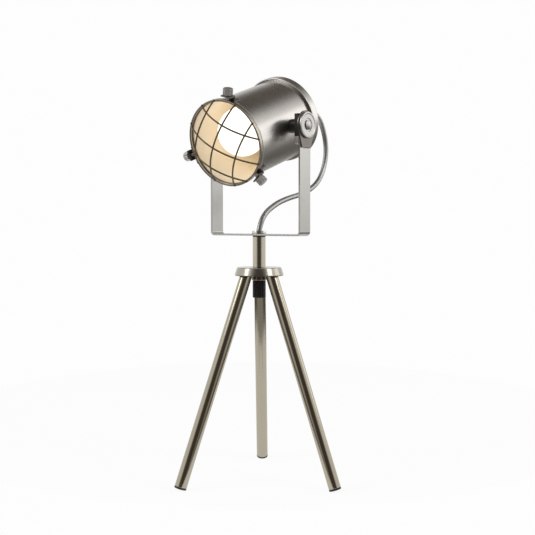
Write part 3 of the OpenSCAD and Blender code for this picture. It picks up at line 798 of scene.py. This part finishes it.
@dataclass
class Studio:
    """Camera, floor and soft light."""

    eye: Point = (12.02, -1181.2, 326.4)
    pitch_down: float = 2.865
    lens: float = 62.95
    table_r: float = 0.55
    table_y: float = 0.42
    table_grey: Colour = (0.86, 0.86, 0.85)
    table_glow: float = 1.04
    table_share: float = 0.88
    white: Colour = (0.985, 0.985, 0.985)
    dim: Colour = (0.035, 0.022, 0.008)
    pale: Colour = (0.92, 0.91, 0.895)

    def camera(self) -> None:
        """Sets the camera where the photograph was taken from."""
        data = bpy.data.cameras.new("camera")
        data.lens = self.lens
        data.sensor_width = 36.0
        data.clip_start = 0.05
        data.clip_end = 200.0
        made = link("camera", data)
        made.location = Vector(self.eye) * MM
        made.rotation_euler = (math.radians(90 - self.pitch_down), 0, 0)
        bpy.context.scene.camera = made

    def floor(self) -> None:
        """Lays a round pale table top that keeps the lamp's shadow."""
        form = Form()
        form.disc(self.table_r, 96, Matrix.Translation((0, self.table_y, 0)))
        mesh = bpy.data.meshes.new("floor")
        form.bm.to_mesh(mesh)
        form.bm.free()
        material = bpy.data.materials.new("floor_pale")
        sheet = Sheet(material)
        seen = self.rays(sheet, "Camera") + self.rays(sheet, "Glossy") + self.rays(sheet, "Transmission")
        matt = sheet.node("BsdfDiffuse", {"Color": self.table_grey})
        white = sheet.node("Emission", {"Color": (1.0, 1.0, 1.0), "Strength": self.table_glow})
        shader = sheet.node("MixShader", {0: seen * self.table_share, 1: matt, 2: white})
        sheet.add("OutputMaterial", {"Surface": shader})
        mesh.materials.append(material)
        link("floor", mesh)

    @staticmethod
    def rays(sheet: Sheet, kind: str) -> Signal:
        """Whether the ray is of a kind."""
        return sheet.node("LightPath", {}, f"Is {kind} Ray")

    def world(self) -> None:
        """Surrounds the lamp with a pale room that is dim behind the camera, overhead and below the table."""
        world = bpy.data.worlds.new("room")
        bpy.context.scene.world = world
        sheet = Sheet(world)
        # Each ramp runs from where the room starts to dim to where it is dimmest, by the way looked at.
        _, away, up = sheet.parts(sheet.node("TexCoord", {}, "Generated"))
        front = (up * 0.2 - away).ramp(0.60, 0.93)
        high = (up + away * 0.3).ramp(0.60, 0.95)
        low = (up * -1.0).ramp(0.0, 0.28)
        deep = (up * -1.0).ramp(0.42, 0.62)
        level = (1.0 - front * 0.95) * (1.0 - high * 0.92) * (1.0 - low * 0.92) + deep * 0.3
        backdrop = away.ramp(0.5, 0.8) * (1.0 - high) * (1.0 - low)
        mirrored = self.rays(sheet, "Glossy") + self.rays(sheet, "Transmission")
        seen = (self.rays(sheet, "Camera") + mirrored * backdrop).within_one()
        colour = sheet.mix(seen, sheet.mix(level, self.dim, self.pale), self.white)
        sheet.add("OutputWorld", {"Surface": sheet.node("Background", {"Color": colour, "Strength": 1.0})})

    def lamp(self, name: str, place: Point, target: float, size: tuple[float, float], power: float) -> None:
        """Hangs a soft rectangular studio light.

        Args:
            name: The light's name.
            place: Where it hangs, in metres.
            target: The height on the lamp's axis that it points at, in metres.
            size: Its width and height, in metres.
            power: Its power, in watts.
        """
        data = bpy.data.lights.new(name, "AREA")
        data.shape = "RECTANGLE"
        data.size, data.size_y = size
        data.energy = power
        made = link(name, data)
        made.location = place
        made.rotation_euler = (Vector(place) - Vector((0, 0, target))).to_track_quat("Z", "Y").to_euler()

    def build(self) -> None:
        """Sets up the whole studio."""
        self.camera()
        self.floor()
        self.world()
        self.lamp("softbox_side", (1.67, 0.32, 0.9), 0.42, (0.9, 0.9), 2.2)
        self.lamp("softbox_right", (1.31, -0.85, 1.3), 0.38, (0.6, 0.6), 4.2)
        self.lamp("softbox_left", (-1.39, -0.59, 1.3), 0.3, (0.5, 0.9), 5.0)
        bpy.context.scene.view_settings.view_transform = "Standard"


# ---------------------------------------------------------------- cord


@dataclass
class HeadCord:
    """The short cord that loops from the head down into the post."""

    diameter: float = 7.0
    grip_h: float = 9.0
    seat: float = 2.0
    rod_top_z: float = 314.0
    sides: int = 16
    steps: int = 4
    blend_low: Point = (0, 40.8, 387.9)
    blend_high: Point = (0, 47.9, 455.5)
    route: Outline = (
        (80, 468), (90, 470.5), (102, 472), (114, 472), (126, 469), (137, 462), (145, 450), (150, 437),
        (152, 423), (150, 409), (145, 396), (137, 384.5), (127, 376), (114, 369), (100, 364), (85, 360),
        (70, 357), (55, 353.5), (40, 349), (27, 343.5), (16, 337.5), (8, 330), (3, 322),
    )

    def line(self) -> list[Vector]:
        """Draws the cord's middle line as a smooth curve through the route.

        Returns:
            The line's points in the yoke's frame, from the head to the post.
        """
        pitch = math.radians(PLACES.head_pitch)
        out = PLACES.crown_w + self.grip_h
        on_head = [(w * math.cos(pitch), PLACES.pivot_z + w * math.sin(pitch)) for w in (out - self.seat, out)]
        knots = [*on_head, *self.route, (0, self.rod_top_z), (0, self.rod_top_z - self.seat)]
        flat = [Vector((0, *knot)) for knot in knots]
        line = [flat[0]]
        for a, b, c, d in zip(flat, flat[1:], flat[2:], flat[3:]):
            for t in (step / self.steps for step in range(self.steps)):
                line.append(
                    (2 * b + (c - a) * t + (2 * a - 5 * b + 4 * c - d) * t * t + (3 * b - a - 3 * c + d) * t ** 3) / 2
                )
        return [*line, flat[-2], flat[-1]]

    def rings(self, bm: bmesh.types.BMesh, line: list[Vector]) -> list[list[bmesh.types.BMVert]]:
        """Sweeps the tube's rings along its middle line.

        Args:
            bm: The mesh that they are made in.
            line: The middle line.

        Returns:
            The vertices of each ring, from the head to the post.
        """
        radius = self.diameter / 2
        rings = [bmesh.ops.create_circle(bm, cap_ends=False, radius=radius, segments=self.sides)["verts"]]
        edges = list(bm.edges)
        for _ in line[1:]:
            grown = bmesh.ops.extrude_edge_only(bm, edges=edges)["geom"]
            edges = [g for g in grown if isinstance(g, bmesh.types.BMEdge) and all(v in grown for v in g.verts)]
            rings.append([next(e.other_vert(v) for e in v.link_edges if e.other_vert(v) in grown) for v in rings[-1]])
        side = Vector((1, 0, 0))
        for index, (ring, point) in enumerate(zip(rings, line)):
            way = (line[min(index + 1, len(line) - 1)] - line[max(index - 1, 0)]).normalized()
            up = way.cross(side)
            for k, vert in enumerate(ring):
                a = 2 * math.pi * k / self.sides
                vert.co = point + (side * math.cos(a) + up * math.sin(a)) * self.diameter / 2
        return rings

    def build(self) -> None:
        line = self.line()
        form = Form()
        bm = form.bm
        along = bm.loops.layers.uv.new("along")
        rings = self.rings(bm, line)
        reach = [0.0]
        for a, b in zip(line, line[1:]):
            reach.append(reach[-1] + (b - a).length)
        place = {v: (k, i) for i, ring in enumerate(rings) for k, v in enumerate(ring)}
        for face in bm.faces:
            ks = [place[vert][0] for vert in face.verts]
            wrap = max(ks) - min(ks) > 1
            for loop in face.loops:
                k, i = place[loop.vert]
                loop[along].uv = ((k + self.sides if wrap and k == 0 else k) / self.sides, reach[i] * MM)
        for ring in (rings[0], rings[-1]):
            bmesh.ops.contextual_create(bm, geom=ring)
        made = form.settle("cord_to_post", PLACES.yoke(), Palette.sleeve)
        matrix = Matrix.Scale(MM, 4) @ PLACES.yoke()
        path = [matrix @ p for p in line]
        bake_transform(made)
        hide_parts("head_cord")
        LOG.info("cord_to_post: %.0f mm long", reach[-1])


# ---------------------------------------------------------------- stand


@dataclass
class Stand:
    """Three splayed legs, the hub, the post and its nut."""

    foot_circle_r: float = 109.1
    leg_top_r: float = 18.5
    leg_d: float = 15.0
    leg_spare: float = 12.0
    tripod_turn: float = 1.7
    foot_t: float = 2.4
    foot_flat: float = 0.4
    hub_under_d: float = 61.2
    hub_top_d: float = 55.0
    hub_face: float = 1.6
    collar_d: float = 18.8
    collar_h: float = 6.0
    post_d: float = 16.3
    post_h: float = 38.4
    bore: float = 6.1
    nut_d: float = 18.0
    nut_h: float = 4.0

    def legs(self) -> None:
        """Makes the three tubes and their plug feet, cut level at the hub and at the floor."""
        lean = math.degrees(math.atan((self.foot_circle_r - self.leg_top_r) / PLACES.hub_under_z))
        tilt = math.radians(lean)
        r = self.leg_d / 2
        end = (r * math.sin(tilt) - self.foot_flat) / math.cos(tilt)
        low = end + self.foot_t
        high = PLACES.hub_under_z / math.cos(tilt) + self.leg_spare
        tube = [(0, low + GAP), (r - 0.5, low + GAP), (r - 0.1, low + 0.15), (r, low + 0.5), (r, high), (0, high)]
        plug = [
            (0, end), (r - 0.7, end), (r - 0.2, end + 0.25), (r + 0.05, end + 0.8), (r + 0.05, low - 0.35),
            (r - 0.3, low), (0, low),
        ]
        for name, angle in (("left", 210), ("right", 330), ("back", 90)):
            place = PLACES.leg(angle - self.tripod_turn, self.foot_circle_r, lean)
            seen = place.inverted()
            up = seen.to_3x3() @ Vector((0, 0, 1))
            for outline, cut_z, way, made, finish, stem in (
                (tube, PLACES.hub_under_z, up, "leg_tube", Palette.leg, "leg"),
                (plug, 0.0, -up, "foot_plug", Palette.foot, "foot"),
            ):
                form = Form().lathe(outline, 72)
                form.cut_flat(seen @ Vector((0, 0, cut_z)), way)
                form.piece(f"{made}_{name}", place, Body.STAND, finish, f"{stem}_{name}")

    def turn(self, name: str, low: float, outline: Outline, steps: int, finish: Finish, replaces: str) -> None:
        """Turns a piece about the post's axis, with its outline measured from a height."""
        Form().lathe(outline, steps).piece(name, PLACES.post(low), Body.STAND, finish, replaces)

    def build(self) -> None:
        """Makes the whole stand."""
        self.legs()
        bore, h = self.bore, PLACES.hub_h
        low, high = self.hub_under_d / 2, self.hub_top_d / 2
        self.turn("hub_turned", PLACES.hub_under_z, [
            (bore, 0), (low - 0.6, 0), (low - 0.15, 0.2), (low, 0.7), (low, 1.3), (high + 0.5, h - 0.9),
            (high + 0.1, h - 0.3), (high - 0.6, h), (self.post_d / 2 + self.hub_face, h), (bore, h),
        ], 128, Palette.hub, "hub_disc")
        # The collar's dark finish is painted shade from the hub above it.
        r, h = self.collar_d / 2, self.collar_h
        self.turn("collar_nut", PLACES.hub_under_z - h, [
            (bore, 0), (r - 0.8, 0), (r, 0.8), (r, h - 0.9), (r - 0.5, h - 0.05), (bore, h - 0.05),
        ], 72, Palette.collar, "hub_collar")
        r, h = self.post_d / 2, self.post_h
        self.turn("post_sleeve", PLACES.hub_under_z + PLACES.hub_h, [
            (bore, GAP), (r - 0.3, GAP), (r, 0.3), (r, h - 0.4), (r - 0.4, h), (bore, h),
        ], 96, Palette.post, "post_tube")
        r, h = self.nut_d / 2, self.nut_h
        self.turn("round_nut", PLACES.strap_z + PLACES.strap_t + 0.05, [
            (bore, 0), (r - 0.7, 0), (r - 0.15, 0.2), (r, 0.7), (r, h - 0.8), (r - 0.25, h - 0.25), (r - 0.9, h),
            (bore + 0.4, h), (bore, h - 0.4),
        ], 96, Palette.nut, "post_nut")
        dress_solids(Palette.steel, "leg_studs", "switch_bushing", "post_rod")
        dress_solids(Palette.fibre, "swivel_washer")


@dataclass
class SwitchKnob:
    """The ribbed black knob under the hub."""

    diameter: float = 16.6
    height: float = 21.2
    ribs: int = 20
    rib_depth: float = 0.6
    top_z: float = 251.5

    def build(self) -> None:
        """Makes the knob and dresses its spindle."""
        form = Form().flute(self.diameter / 2, self.rib_depth, self.ribs, self.height, 0.8).soften(0.5)
        form.piece("knob_ribbed", PLACES.post(self.top_z - self.height), Body.SWITCH, Palette.knob, "switch_knob")
        dress_solids(Palette.steel, "switch_spindle")


# ---------------------------------------------------------------- yoke


@dataclass
class Yoke:
    """The bent strap, its pivot plates, friction pads and ledges."""

    strap_w: float = 22.5
    bend_r: float = 3.0
    arm_top: float = 141.0
    plate_d: float = 35.0
    plate_t: float = 2.0
    plate_foot_w: float = 18.5
    plate_drop: float = 27.0
    pad_t: float = 6.0
    pad_h: float = 27.0
    ledge_h: float = 9.4

    def strap(self) -> None:
        """Bends the strap: down one arm, round a bend, across and up the other arm."""
        form = Form()
        bm = form.bm
        t, arm_in, top = PLACES.strap_t, PLACES.arm_in, self.arm_top
        low, bend_x = self.bend_r + t, arm_in - self.bend_r
        start = Matrix.Translation((arm_in + t / 2, 0, top)) @ Matrix.Diagonal((t, self.strap_w, 1, 1))
        bmesh.ops.create_grid(bm, x_segments=1, y_segments=1, size=0.5, matrix=start)
        face = next(iter(bm.faces))

        def follow(grown: Sequence[bmesh.types.BMFace]) -> None:
            """Takes the leading face on and clears the one left inside the strap.

            Args:
                grown: What the last step has made.
            """
            nonlocal face
            old, face = face, next(g for g in grown if isinstance(g, bmesh.types.BMFace))
            if old.is_valid and old.calc_center_median().z < top - 0.01:
                bmesh.ops.delete(bm, geom=[old], context="FACES_ONLY")

        def push(vec: Point) -> None:
            """Extrudes the leading face by a vector."""
            follow(bmesh.ops.extrude_face_region(bm, geom=[face])["geom"])
            bmesh.ops.translate(bm, vec=vec, verts=list(face.verts))

        def bend(centre_x: float) -> None:
            """Turns the leading face by a quarter about a bend's centre.

            Args:
                centre_x: Where the centre is.
            """
            follow(bmesh.ops.spin(
                bm, geom=[face], cent=(centre_x, 0, low), axis=(0, 1, 0), dvec=(0, 0, 0), angle=math.pi / 2,
                steps=8, use_merge=False,
            )["geom_last"])

        push((0, 0, low - top))
        bend(bend_x)
        push((-2 * bend_x, 0, 0))
        bend(-bend_x)
        push((0, 0, top - low))
        bmesh.ops.remove_doubles(bm, verts=bm.verts, dist=JOIN)
        bmesh.ops.recalc_face_normals(bm, faces=bm.faces)
        form.soften(0.45, over=60)
        along = bm.loops.layers.uv.new("along")
        for f in bm.faces:
            centre = f.calc_center_median()
            upright = abs(centre.x) > arm_in - 0.5 and centre.z > low - 0.1
            for loop in f.loops:
                x, y, z = loop.vert.co
                run = z * math.copysign(1, x) if upright else x
                loop[along].uv = ((y + (0 if abs(f.normal.y) < 0.5 else x)) * MM, run * MM)
        form.piece("strap_bent", PLACES.yoke(PLACES.strap_z), Body.YOKE, Palette.strap, "yoke_strap")

    def plates(self) -> None:
        """Cuts the pivot plates: a round end whose flanks run down to a narrow foot."""
        r = self.plate_d / 2
        foot = Vector((self.plate_foot_w / 2, -self.plate_drop))
        side = Vector((self.plate_drop, self.plate_foot_w / 2))
        reach = foot.length
        touch = foot * (r / reach) ** 2 + side * (r * math.sqrt(reach ** 2 - r ** 2) / reach ** 2)
        sweep = math.pi - 2 * math.atan2(touch.y, touch.x)
        outwards = Matrix(((0, 0, 1, 0), (1, 0, 0, 0), (0, 1, 0, 0), (0, 0, 0, 1)))
        out = Matrix.Translation((PLACES.arm_in + PLACES.strap_t + 0.01, 0, 0)) @ outwards
        for sign, name in SIDES:
            form = Form()
            bm = form.bm
            start = bm.verts.new((touch.x, touch.y, 0))
            bmesh.ops.spin(
                bm, geom=[start], cent=(0, 0, 0), axis=(0, 0, 1), dvec=(0, 0, 0), angle=sweep, steps=56,
                use_merge=False,
            )
            ends = [v for v in bm.verts if len(v.link_edges) == 1]
            feet = [bm.verts.new((s * foot.x, foot.y, 0)) for s in (1, -1)]
            chain = [max(ends, key=lambda v: v.co.x), *feet, min(ends, key=lambda v: v.co.x)]
            for pair in zip(chain, chain[1:]):
                bm.edges.new(pair)
            bmesh.ops.contextual_create(bm, geom=list(bm.edges))
            form.grow(list(bm.faces), (0, 0, self.plate_t - GAP))
            bmesh.ops.recalc_face_normals(bm, faces=bm.faces)
            place = PLACES.yoke(PLACES.pivot_z) @ Matrix.Diagonal((sign, 1, 1, 1)) @ out
            form.soften(0.35).piece(f"plate_cut_{name}", place, Body.YOKE, Palette.plate, f"pivot_plate_{name}")

    def build(self) -> None:
        """Makes the whole yoke, with black pads and light ledges on the arms' inner faces."""
        self.strap()
        self.plates()
        x = PLACES.arm_in - self.pad_t / 2
        for name, height, z, finish, replaces in (
            ("pads_fibre", self.pad_h, 0, Palette.fibre, "friction_pads"),
            ("ledges_milled", self.ledge_h, -(self.pad_h + self.ledge_h) / 2, Palette.ledge, "ledge_blocks"),
        ):
            form = Form()
            for sign, _ in SIDES:
                form.bar((self.pad_t, self.strap_w, height), (sign * x, 0, z))
            form.soften(0.5).piece(name, PLACES.yoke(PLACES.pivot_z), Body.YOKE, finish, replaces)


# ---------------------------------------------------------------- head


@dataclass
class TiltJoint:
    """What turns with the drum on the tilt axis."""

    boss_d: float = 17.0
    boss_in: float = 48.6
    boss_out: float = 61.15
    disc_in: float = 71.45
    disc_d: float = 31.5
    disc_t: float = 3.0
    disc_bore: float = 3.1
    recess_d: float = 15.7
    recess_t: float = 1.4
    nut_d: float = 11.5
    nut_h: float = 1.7
    dome_h: float = 1.4

    def disc(self) -> Form:
        """Turns one clamp disc, with its raised ring and its recess.

        Returns:
            The form, with Z out along the tilt axis.
        """
        r, rec, t, bore, deep = self.disc_d / 2, self.recess_d / 2, self.disc_t, self.disc_bore, self.recess_t
        return Form().lathe([
            (bore, 0), (r - 0.5, 0), (r - 0.1, 0.2), (r, 0.6), (r, t - 0.7), (r - 0.25, t - 0.2), (r - 0.8, t),
            (r - 1.8, t), (r - 2.3, t - 0.35), (r - 2.9, t - 0.5), (rec + 0.9, t - 0.5), (rec + 0.3, t - 0.62),
            (rec, t - 0.95), (rec, t - deep), (bore, t - deep),
        ], 96)

    def nut(self) -> Form:
        """Turns one cap nut with its low dome.

        Returns:
            The form, with Z out along the tilt axis.
        """
        r = self.nut_d / 2
        dome_r = (r ** 2 + self.dome_h ** 2) / (2 * self.dome_h)
        reach = math.degrees(math.acos((dome_r - self.dome_h) / dome_r))
        dome = arc((0, self.nut_h + self.dome_h - dome_r), dome_r, 90 - reach, 90, 10)
        return Form().lathe([(0, GAP), (r - 0.3, GAP), (r, 0.3), *dome])

    def build(self) -> None:
        """Makes bosses, clamp discs and cap nuts on both sides."""
        bosses, nuts = Form(), Form()
        r, low, high = self.boss_d / 2, self.boss_in, self.boss_out
        boss = Form().lathe([(0, low), (r, low), (r, high - 0.5), (r - 0.5, high), (0, high)])
        nut, nut_low = self.nut(), self.disc_in + self.disc_t - self.recess_t
        for sign, name in SIDES:
            place = PLACES.tilt_axis(sign)
            bosses.add(boss, place)
            nuts.add(nut, place @ lift(nut_low))
            self.disc().piece(
                f"disc_turned_{name}", place @ lift(self.disc_in), Body.HEAD, Palette.bright, f"clamp_disc_{name}"
            )
        bosses.piece("bosses_turned", Matrix.Identity(4), Body.HEAD, Palette.boss, "pivot_bosses")
        nuts.piece("nuts_domed", Matrix.Identity(4), Body.HEAD, Palette.bright, "cap_nuts")
        dress_solids(Palette.head_steel, "pivot_bolts")


@dataclass
class DrumHead:
    """The drum, its rear cap and the lampholder with its nipple and cord grip."""

    wall: float = 1.0
    tail_w: float = 50.0
    cap_r: float = 53.8
    cap_wall: float = 1.4
    cap_edge_w: float = 42.0
    cap_rise: float = 4.6
    corner_r: float = 3.0
    edge_r: float = 1.2
    cap_roll: float = 2.6
    bore_r: float = 6.6
    shell_r: float = 14.4
    holder_r: float = 20.0
    groove_r: float = 19.5
    nipple_r: float = 6.9
    grip_r: float = 9.0
    grip_bore_r: float = 3.68

    def drum(self) -> None:
        """Rolls the drum with its rim, brushed outside and cream inside, the cream with a faint painted glow."""
        r, inner, mouth, t = PLACES.drum_r, PLACES.drum_r - self.wall, PLACES.mouth_w, PLACES.rim_t
        back = mouth - t
        roll = arc((PLACES.rim_r - t / 2, mouth - t / 2), t / 2, -90, 90, 8)
        form = Form().lathe([
            (inner, -self.tail_w), (r, -self.tail_w), (r, back - 0.9), (r + 0.3, back - 0.25), (r + 0.9, back), *roll,
            (inner + 0.6, mouth), (inner, mouth - 0.6),
        ], 160)
        for face in form.bm.faces:
            if face.calc_center_median().xy.length < inner + 0.4:
                face.material_index = 1
        form.piece("drum_rolled", PLACES.head(), Body.HEAD, Palette.drum, "drum_shell", inside=Palette.cream)

    def cap(self) -> None:
        """Spins the rear cap: a rolled edge, a plain skirt, a round corner and a low dome."""
        r, drum_r = self.cap_r, PLACES.drum_r + 0.05
        dome_r = (r ** 2 + self.cap_rise ** 2) / (2 * self.cap_rise)
        edge, shoulder = -self.cap_edge_w, self.cap_rise + self.corner_r - PLACES.crown_w
        skirt = edge - self.cap_roll

        def dome(xs: Sequence[float], inset: float) -> Outline:
            """Points of the dome at distances from its middle."""
            return [(x, dome_r - PLACES.crown_w - math.sqrt((dome_r - inset) ** 2 - x * x)) for x in xs]

        Form().lathe([
            (drum_r, edge - 0.1), (drum_r + 0.4, edge),
            *arc((r - self.edge_r, edge - self.edge_r), self.edge_r, 90, 0, 6),
            (r, skirt + 0.3), (r - 0.12, skirt), (r - 0.12, skirt - 0.6),
            *arc((r - self.corner_r, shoulder), self.corner_r, 0, -82, 8),
            *dome((44, 40, 36, 31, 27, 22, 18, 13, 9, self.bore_r), 0),
            *dome((self.bore_r, 20, 34, 46), self.cap_wall),
            (r - 3.2, shoulder - 0.6), (r - self.cap_wall, shoulder + 1), (r - self.cap_wall, skirt), (drum_r, skirt),
        ], 160).piece("cap_spun", PLACES.head(), Body.HEAD, Palette.cap, "rear_cap")

    def holder(self) -> None:
        """Turns the lampholder, whose back lies flat in the leaning socket, and the cord grip."""
        back = -PLACES.holder_back_w
        shell, r, groove, nipple = self.shell_r, self.holder_r, self.groove_r, self.nipple_r
        form = Form().lathe([
            (shell, -34), (shell, -5.2), (shell + 0.8, -4), (r - 1.8, -4), (r - 0.4, -4.8), (r, -6), (r, -12),
            (groove, -12.6), (groove, -14), (r, -14.6), (r, back + 3.4), (r - 1.2, back), (nipple, back),
            (nipple, -53.2), (2, -53.2), (2, -34),
        ], 80)
        for vert in form.bm.verts:
            if vert.co.z < back + 0.1:
                vert.co.z += vert.co.y * math.tan(math.radians(PLACES.socket_lean))
        form.piece("holder_glazed", PLACES.socket(), Body.HEAD, Palette.ceramic, "lampholder_body")
        r, bore = self.grip_r, self.grip_bore_r
        Form().lathe([
            (bore, -60.05), (r, -60.05), (r, -62.6), (r - 0.4, -62.9), (r - 0.4, -63.3), (r, -63.6), (r, -64.8),
            (r - 0.7, -66), (r - 2.4, -68.5), (r - 3.1, -69), (bore, -69),
        ]).piece("grip_turned", PLACES.head(), Body.HEAD, Palette.grip, "cord_grip")

    def build(self) -> None:
        """Makes drum, cap and lampholder."""
        self.drum()
        self.cap()
        self.holder()
        dress_solids(Palette.brass, "screw_shell", "shell_contact")
        dress_solids(Palette.head_steel, "holder_nipple")
        dress_solids(Palette.vitrite, "bulb_insulator")
        dress_solids(Palette.base, "bulb_contact")


@dataclass
class Bulb:
    """The frosted globe bulb on its screw base."""

    diameter: float = 60.0
    centre_w: float = 34.0
    neck_r: float = 12.0
    top_w: float = -5.0
    base_r: float = 13.0
    base_h: float = 24.0
    thread: float = 0.85
    half_turns: int = 12

    def build(self) -> None:
        """Blows the globe and rolls the threaded base."""
        globe = arc((0, self.centre_w), self.diameter / 2, 90, -44, 34)
        neck = [(19.2, 10.0), (16.6, 5.8), (14.4, 1.6), (12.7, -2.0), (self.neck_r, self.top_w)]
        Form().lathe([*globe, *neck, (0, self.top_w)], 96).piece(
            "globe_blown", PLACES.socket(), Body.HEAD, Palette.glass, "bulb_glass"
        )
        top, low, r, inner = self.top_w, self.top_w - self.base_h, self.base_r, self.neck_r + 0.2
        threads = [
            (r - (0.0 if i % 2 else self.thread), top - 2.5 - (self.base_h - 5) * i / self.half_turns)
            for i in range(self.half_turns + 1)
        ]
        outline = [(inner, top), (r - 0.2, top), *threads, (r - 1.4, low), (0, low), (0, low + 1), (inner, low + 1)]
        Form().lathe(outline, 72).piece("base_rolled", PLACES.socket(), Body.HEAD, Palette.base, "bulb_base")


@dataclass
class Guard:
    """The band on the drum's rim and the domed grille of six welded wires."""

    wall: float = 1.4
    flange: float = 2.7
    flange_t: float = 1.2
    wire_r: float = 1.0
    rise: float = 22.6
    lap: float = 1.2
    roll: float = 31.4
    weld_r: float = 1.35
    foot_weld_r: float = 1.7
    shares: tuple[float, ...] = (-0.56, 0.0, 0.56)

    def band(self) -> None:
        """Rolls the flanged band."""
        r, h = PLACES.rim_r, PLACES.guard_h
        inner, lip, under = r - self.wall, r - self.flange, h - self.flange_t
        Form().lathe([
            (inner, GAP), (r - 0.4, GAP), (r, 0.4), (r, h - 0.8), (r - 0.25, h - 0.22), (r - 0.8, h), (lip + 0.4, h),
            (lip, h - 0.4), (lip, under + 0.3), (lip + 0.3, under), (inner, under),
        ], 160).piece("band_rolled", PLACES.head(PLACES.mouth_w), Body.HEAD, Palette.band, "guard_band")

    def grille(self) -> None:
        """Bows the six wires to one dome and welds them where they cross and where they end."""
        end_r = PLACES.rim_r - self.flange / 2
        form = Form()
        front = PLACES.mouth_w + PLACES.guard_h
        domes = [(end_r ** 2 + rise ** 2) / (2 * rise) for rise in (self.rise, self.rise - self.lap)]
        for turn, rise, dome_r in ((0, self.rise, domes[0]), (90, self.rise - self.lap, domes[1])):
            for share in self.shares:
                offset = share * end_r
                arc_r = math.sqrt(dome_r ** 2 - offset ** 2)
                reach = math.sqrt(end_r ** 2 - offset ** 2)
                half = math.asin(reach / arc_r)
                place = turned(turn, "Z") @ Matrix.Translation((offset, 0, front + rise - dome_r)) @ turned(90, "Z")
                form.add(Form().arc_rod(arc_r, self.wire_r, half), place)
                for sign, _ in SIDES:
                    tip = place @ Vector((sign * reach, 0, arc_r * math.cos(half)))
                    form.ball(self.foot_weld_r, tip, 0.42)
        for a in self.shares:
            for b in self.shares:
                x, y = a * end_r, -b * end_r
                z = front + self.rise - domes[0] + math.sqrt(domes[0] ** 2 - x * x - y * y)
                form.ball(self.weld_r, (x, y, z - self.lap / 2), 0.8)
        form.move(turned(-self.roll, "Z"))
        form.piece("grille_domed", PLACES.head(), Body.HEAD, Palette.guard, "guard_wires")

    def build(self) -> None:
        """Makes band and grille."""
        self.band()
        self.grille()


@dataclass
class ThumbScrews:
    """Three knurled thumb screws on bent brackets."""

    screws: tuple[tuple[float, Body, str], ...] = (
        (18.0, Body.SCREW_TOP, "top"), (138.0, Body.SCREW_RIGHT, "right"), (258.0, Body.SCREW_LEFT, "left"),
    )
    along: float = 70.0
    rise: float = 4.0
    bracket_t: float = 1.6
    bracket_w: float = 13.4
    bracket_foot: float = 12.0
    back_w: float = 65.3
    head_r: float = 6.0
    head_h: float = 7.0
    flutes: int = 12
    flute_depth: float = 0.75
    collar_r: float = 3.5
    collar_t: float = 1.4
    shank_r: float = 2.0
    rivet_r: float = 2.2

    def bracket(self) -> Form:
        """Bends one bracket.

        Returns:
            The form, in its clock frame with Z measured from the screw.
        """
        form = Form()
        bm, t, z0 = form.bm, self.bracket_t, self.back_w - self.along
        top, low = PLACES.rim_r + self.rise, PLACES.drum_r + GAP
        reach, foot = self.collar_r + t, z0 - self.bracket_foot
        path = (
            (low, foot), (low + t, foot), (low + t, z0 - t), (top + t, z0 - t), (top + t, reach), (top, reach),
            (top, z0), (low, z0),
        )
        verts = [bm.verts.new((-self.bracket_w / 2, y, z)) for y, z in path]
        edges = [bm.edges.new(pair) for pair in zip(verts, verts[1:] + verts[:1])]
        form.grow(bmesh.ops.contextual_create(bm, geom=edges)["faces"], (self.bracket_w, 0, 0))
        bmesh.ops.recalc_face_normals(bm, faces=bm.faces)
        return form.soften(0.45)

    def screw(self) -> Form:
        """Turns and knurls one thumb screw.

        Returns:
            The form, with Z out along the screw from the drum's axis.
        """
        tip = PLACES.rim_r + 0.05
        base = tip + self.rise + self.bracket_t
        low = base + self.collar_t
        r, shank, top = self.collar_r, self.shank_r, low + self.head_h
        form = Form().lathe([
            (0, tip), (shank - 0.5, tip), (shank, tip + 0.6), (shank, base), (r - 0.2, base), (r, base + 0.2),
            (r, low + 0.2), (0, low + 0.2),
        ], 40)
        head = Form().flute(self.head_r, self.flute_depth, self.flutes, self.head_h, 1.6).soften(0.45, 2)
        r = self.head_r - 1.9
        dish = Form().lathe(
            [(0, top - 0.5), (r - 0.4, top - 0.5), (r - 0.4, top + GAP), (r, top + 0.15), (r + 0.4, top - 0.2)], 48
        )
        return form.add(head, lift(low)).add(dish)

    def build(self) -> None:
        """Makes brackets, rivets and screws at the three clock angles."""
        brackets, rivets = Form(), Form()
        r = self.rivet_r
        rivet = Form().lathe([(0, GAP), (r, GAP), (r, 0.3), *arc((0, -1.6), 2.8, 40, 90, 6)], 32)
        rivet_w = self.back_w - (self.bracket_foot + self.bracket_t) / 2
        out = turned(-90, "X")
        for clock, body, name in self.screws:
            place = PLACES.clock(clock, self.along)
            brackets.add(self.bracket(), place)
            rivets.add(rivet, PLACES.clock(clock, rivet_w) @ out @ lift(PLACES.drum_r + self.bracket_t))
            self.screw().piece(f"screw_knurled_{name}", place @ out, body, Palette.screw, f"thumb_screw_{name}")
        brackets.piece("brackets_bent", Matrix.Identity(4), Body.HEAD, Palette.bracket, "guard_brackets")
        rivets.piece("rivets_domed", Matrix.Identity(4), Body.HEAD, Palette.head_steel, "bracket_rivets")


def main() -> None:
    """Builds the studio and every sub-assembly."""
    logging.basicConfig(level=logging.INFO, format="%(name)s: %(message)s")
    Studio().build()
    for part in (HeadCord(), Stand(), SwitchKnob(), Yoke(), TiltJoint(), DrumHead(), Bulb(), Guard(), ThumbScrews()):
        LOG.info("building %s", type(part).__name__)
        part.build()


if __name__ == "__main__":
    main()
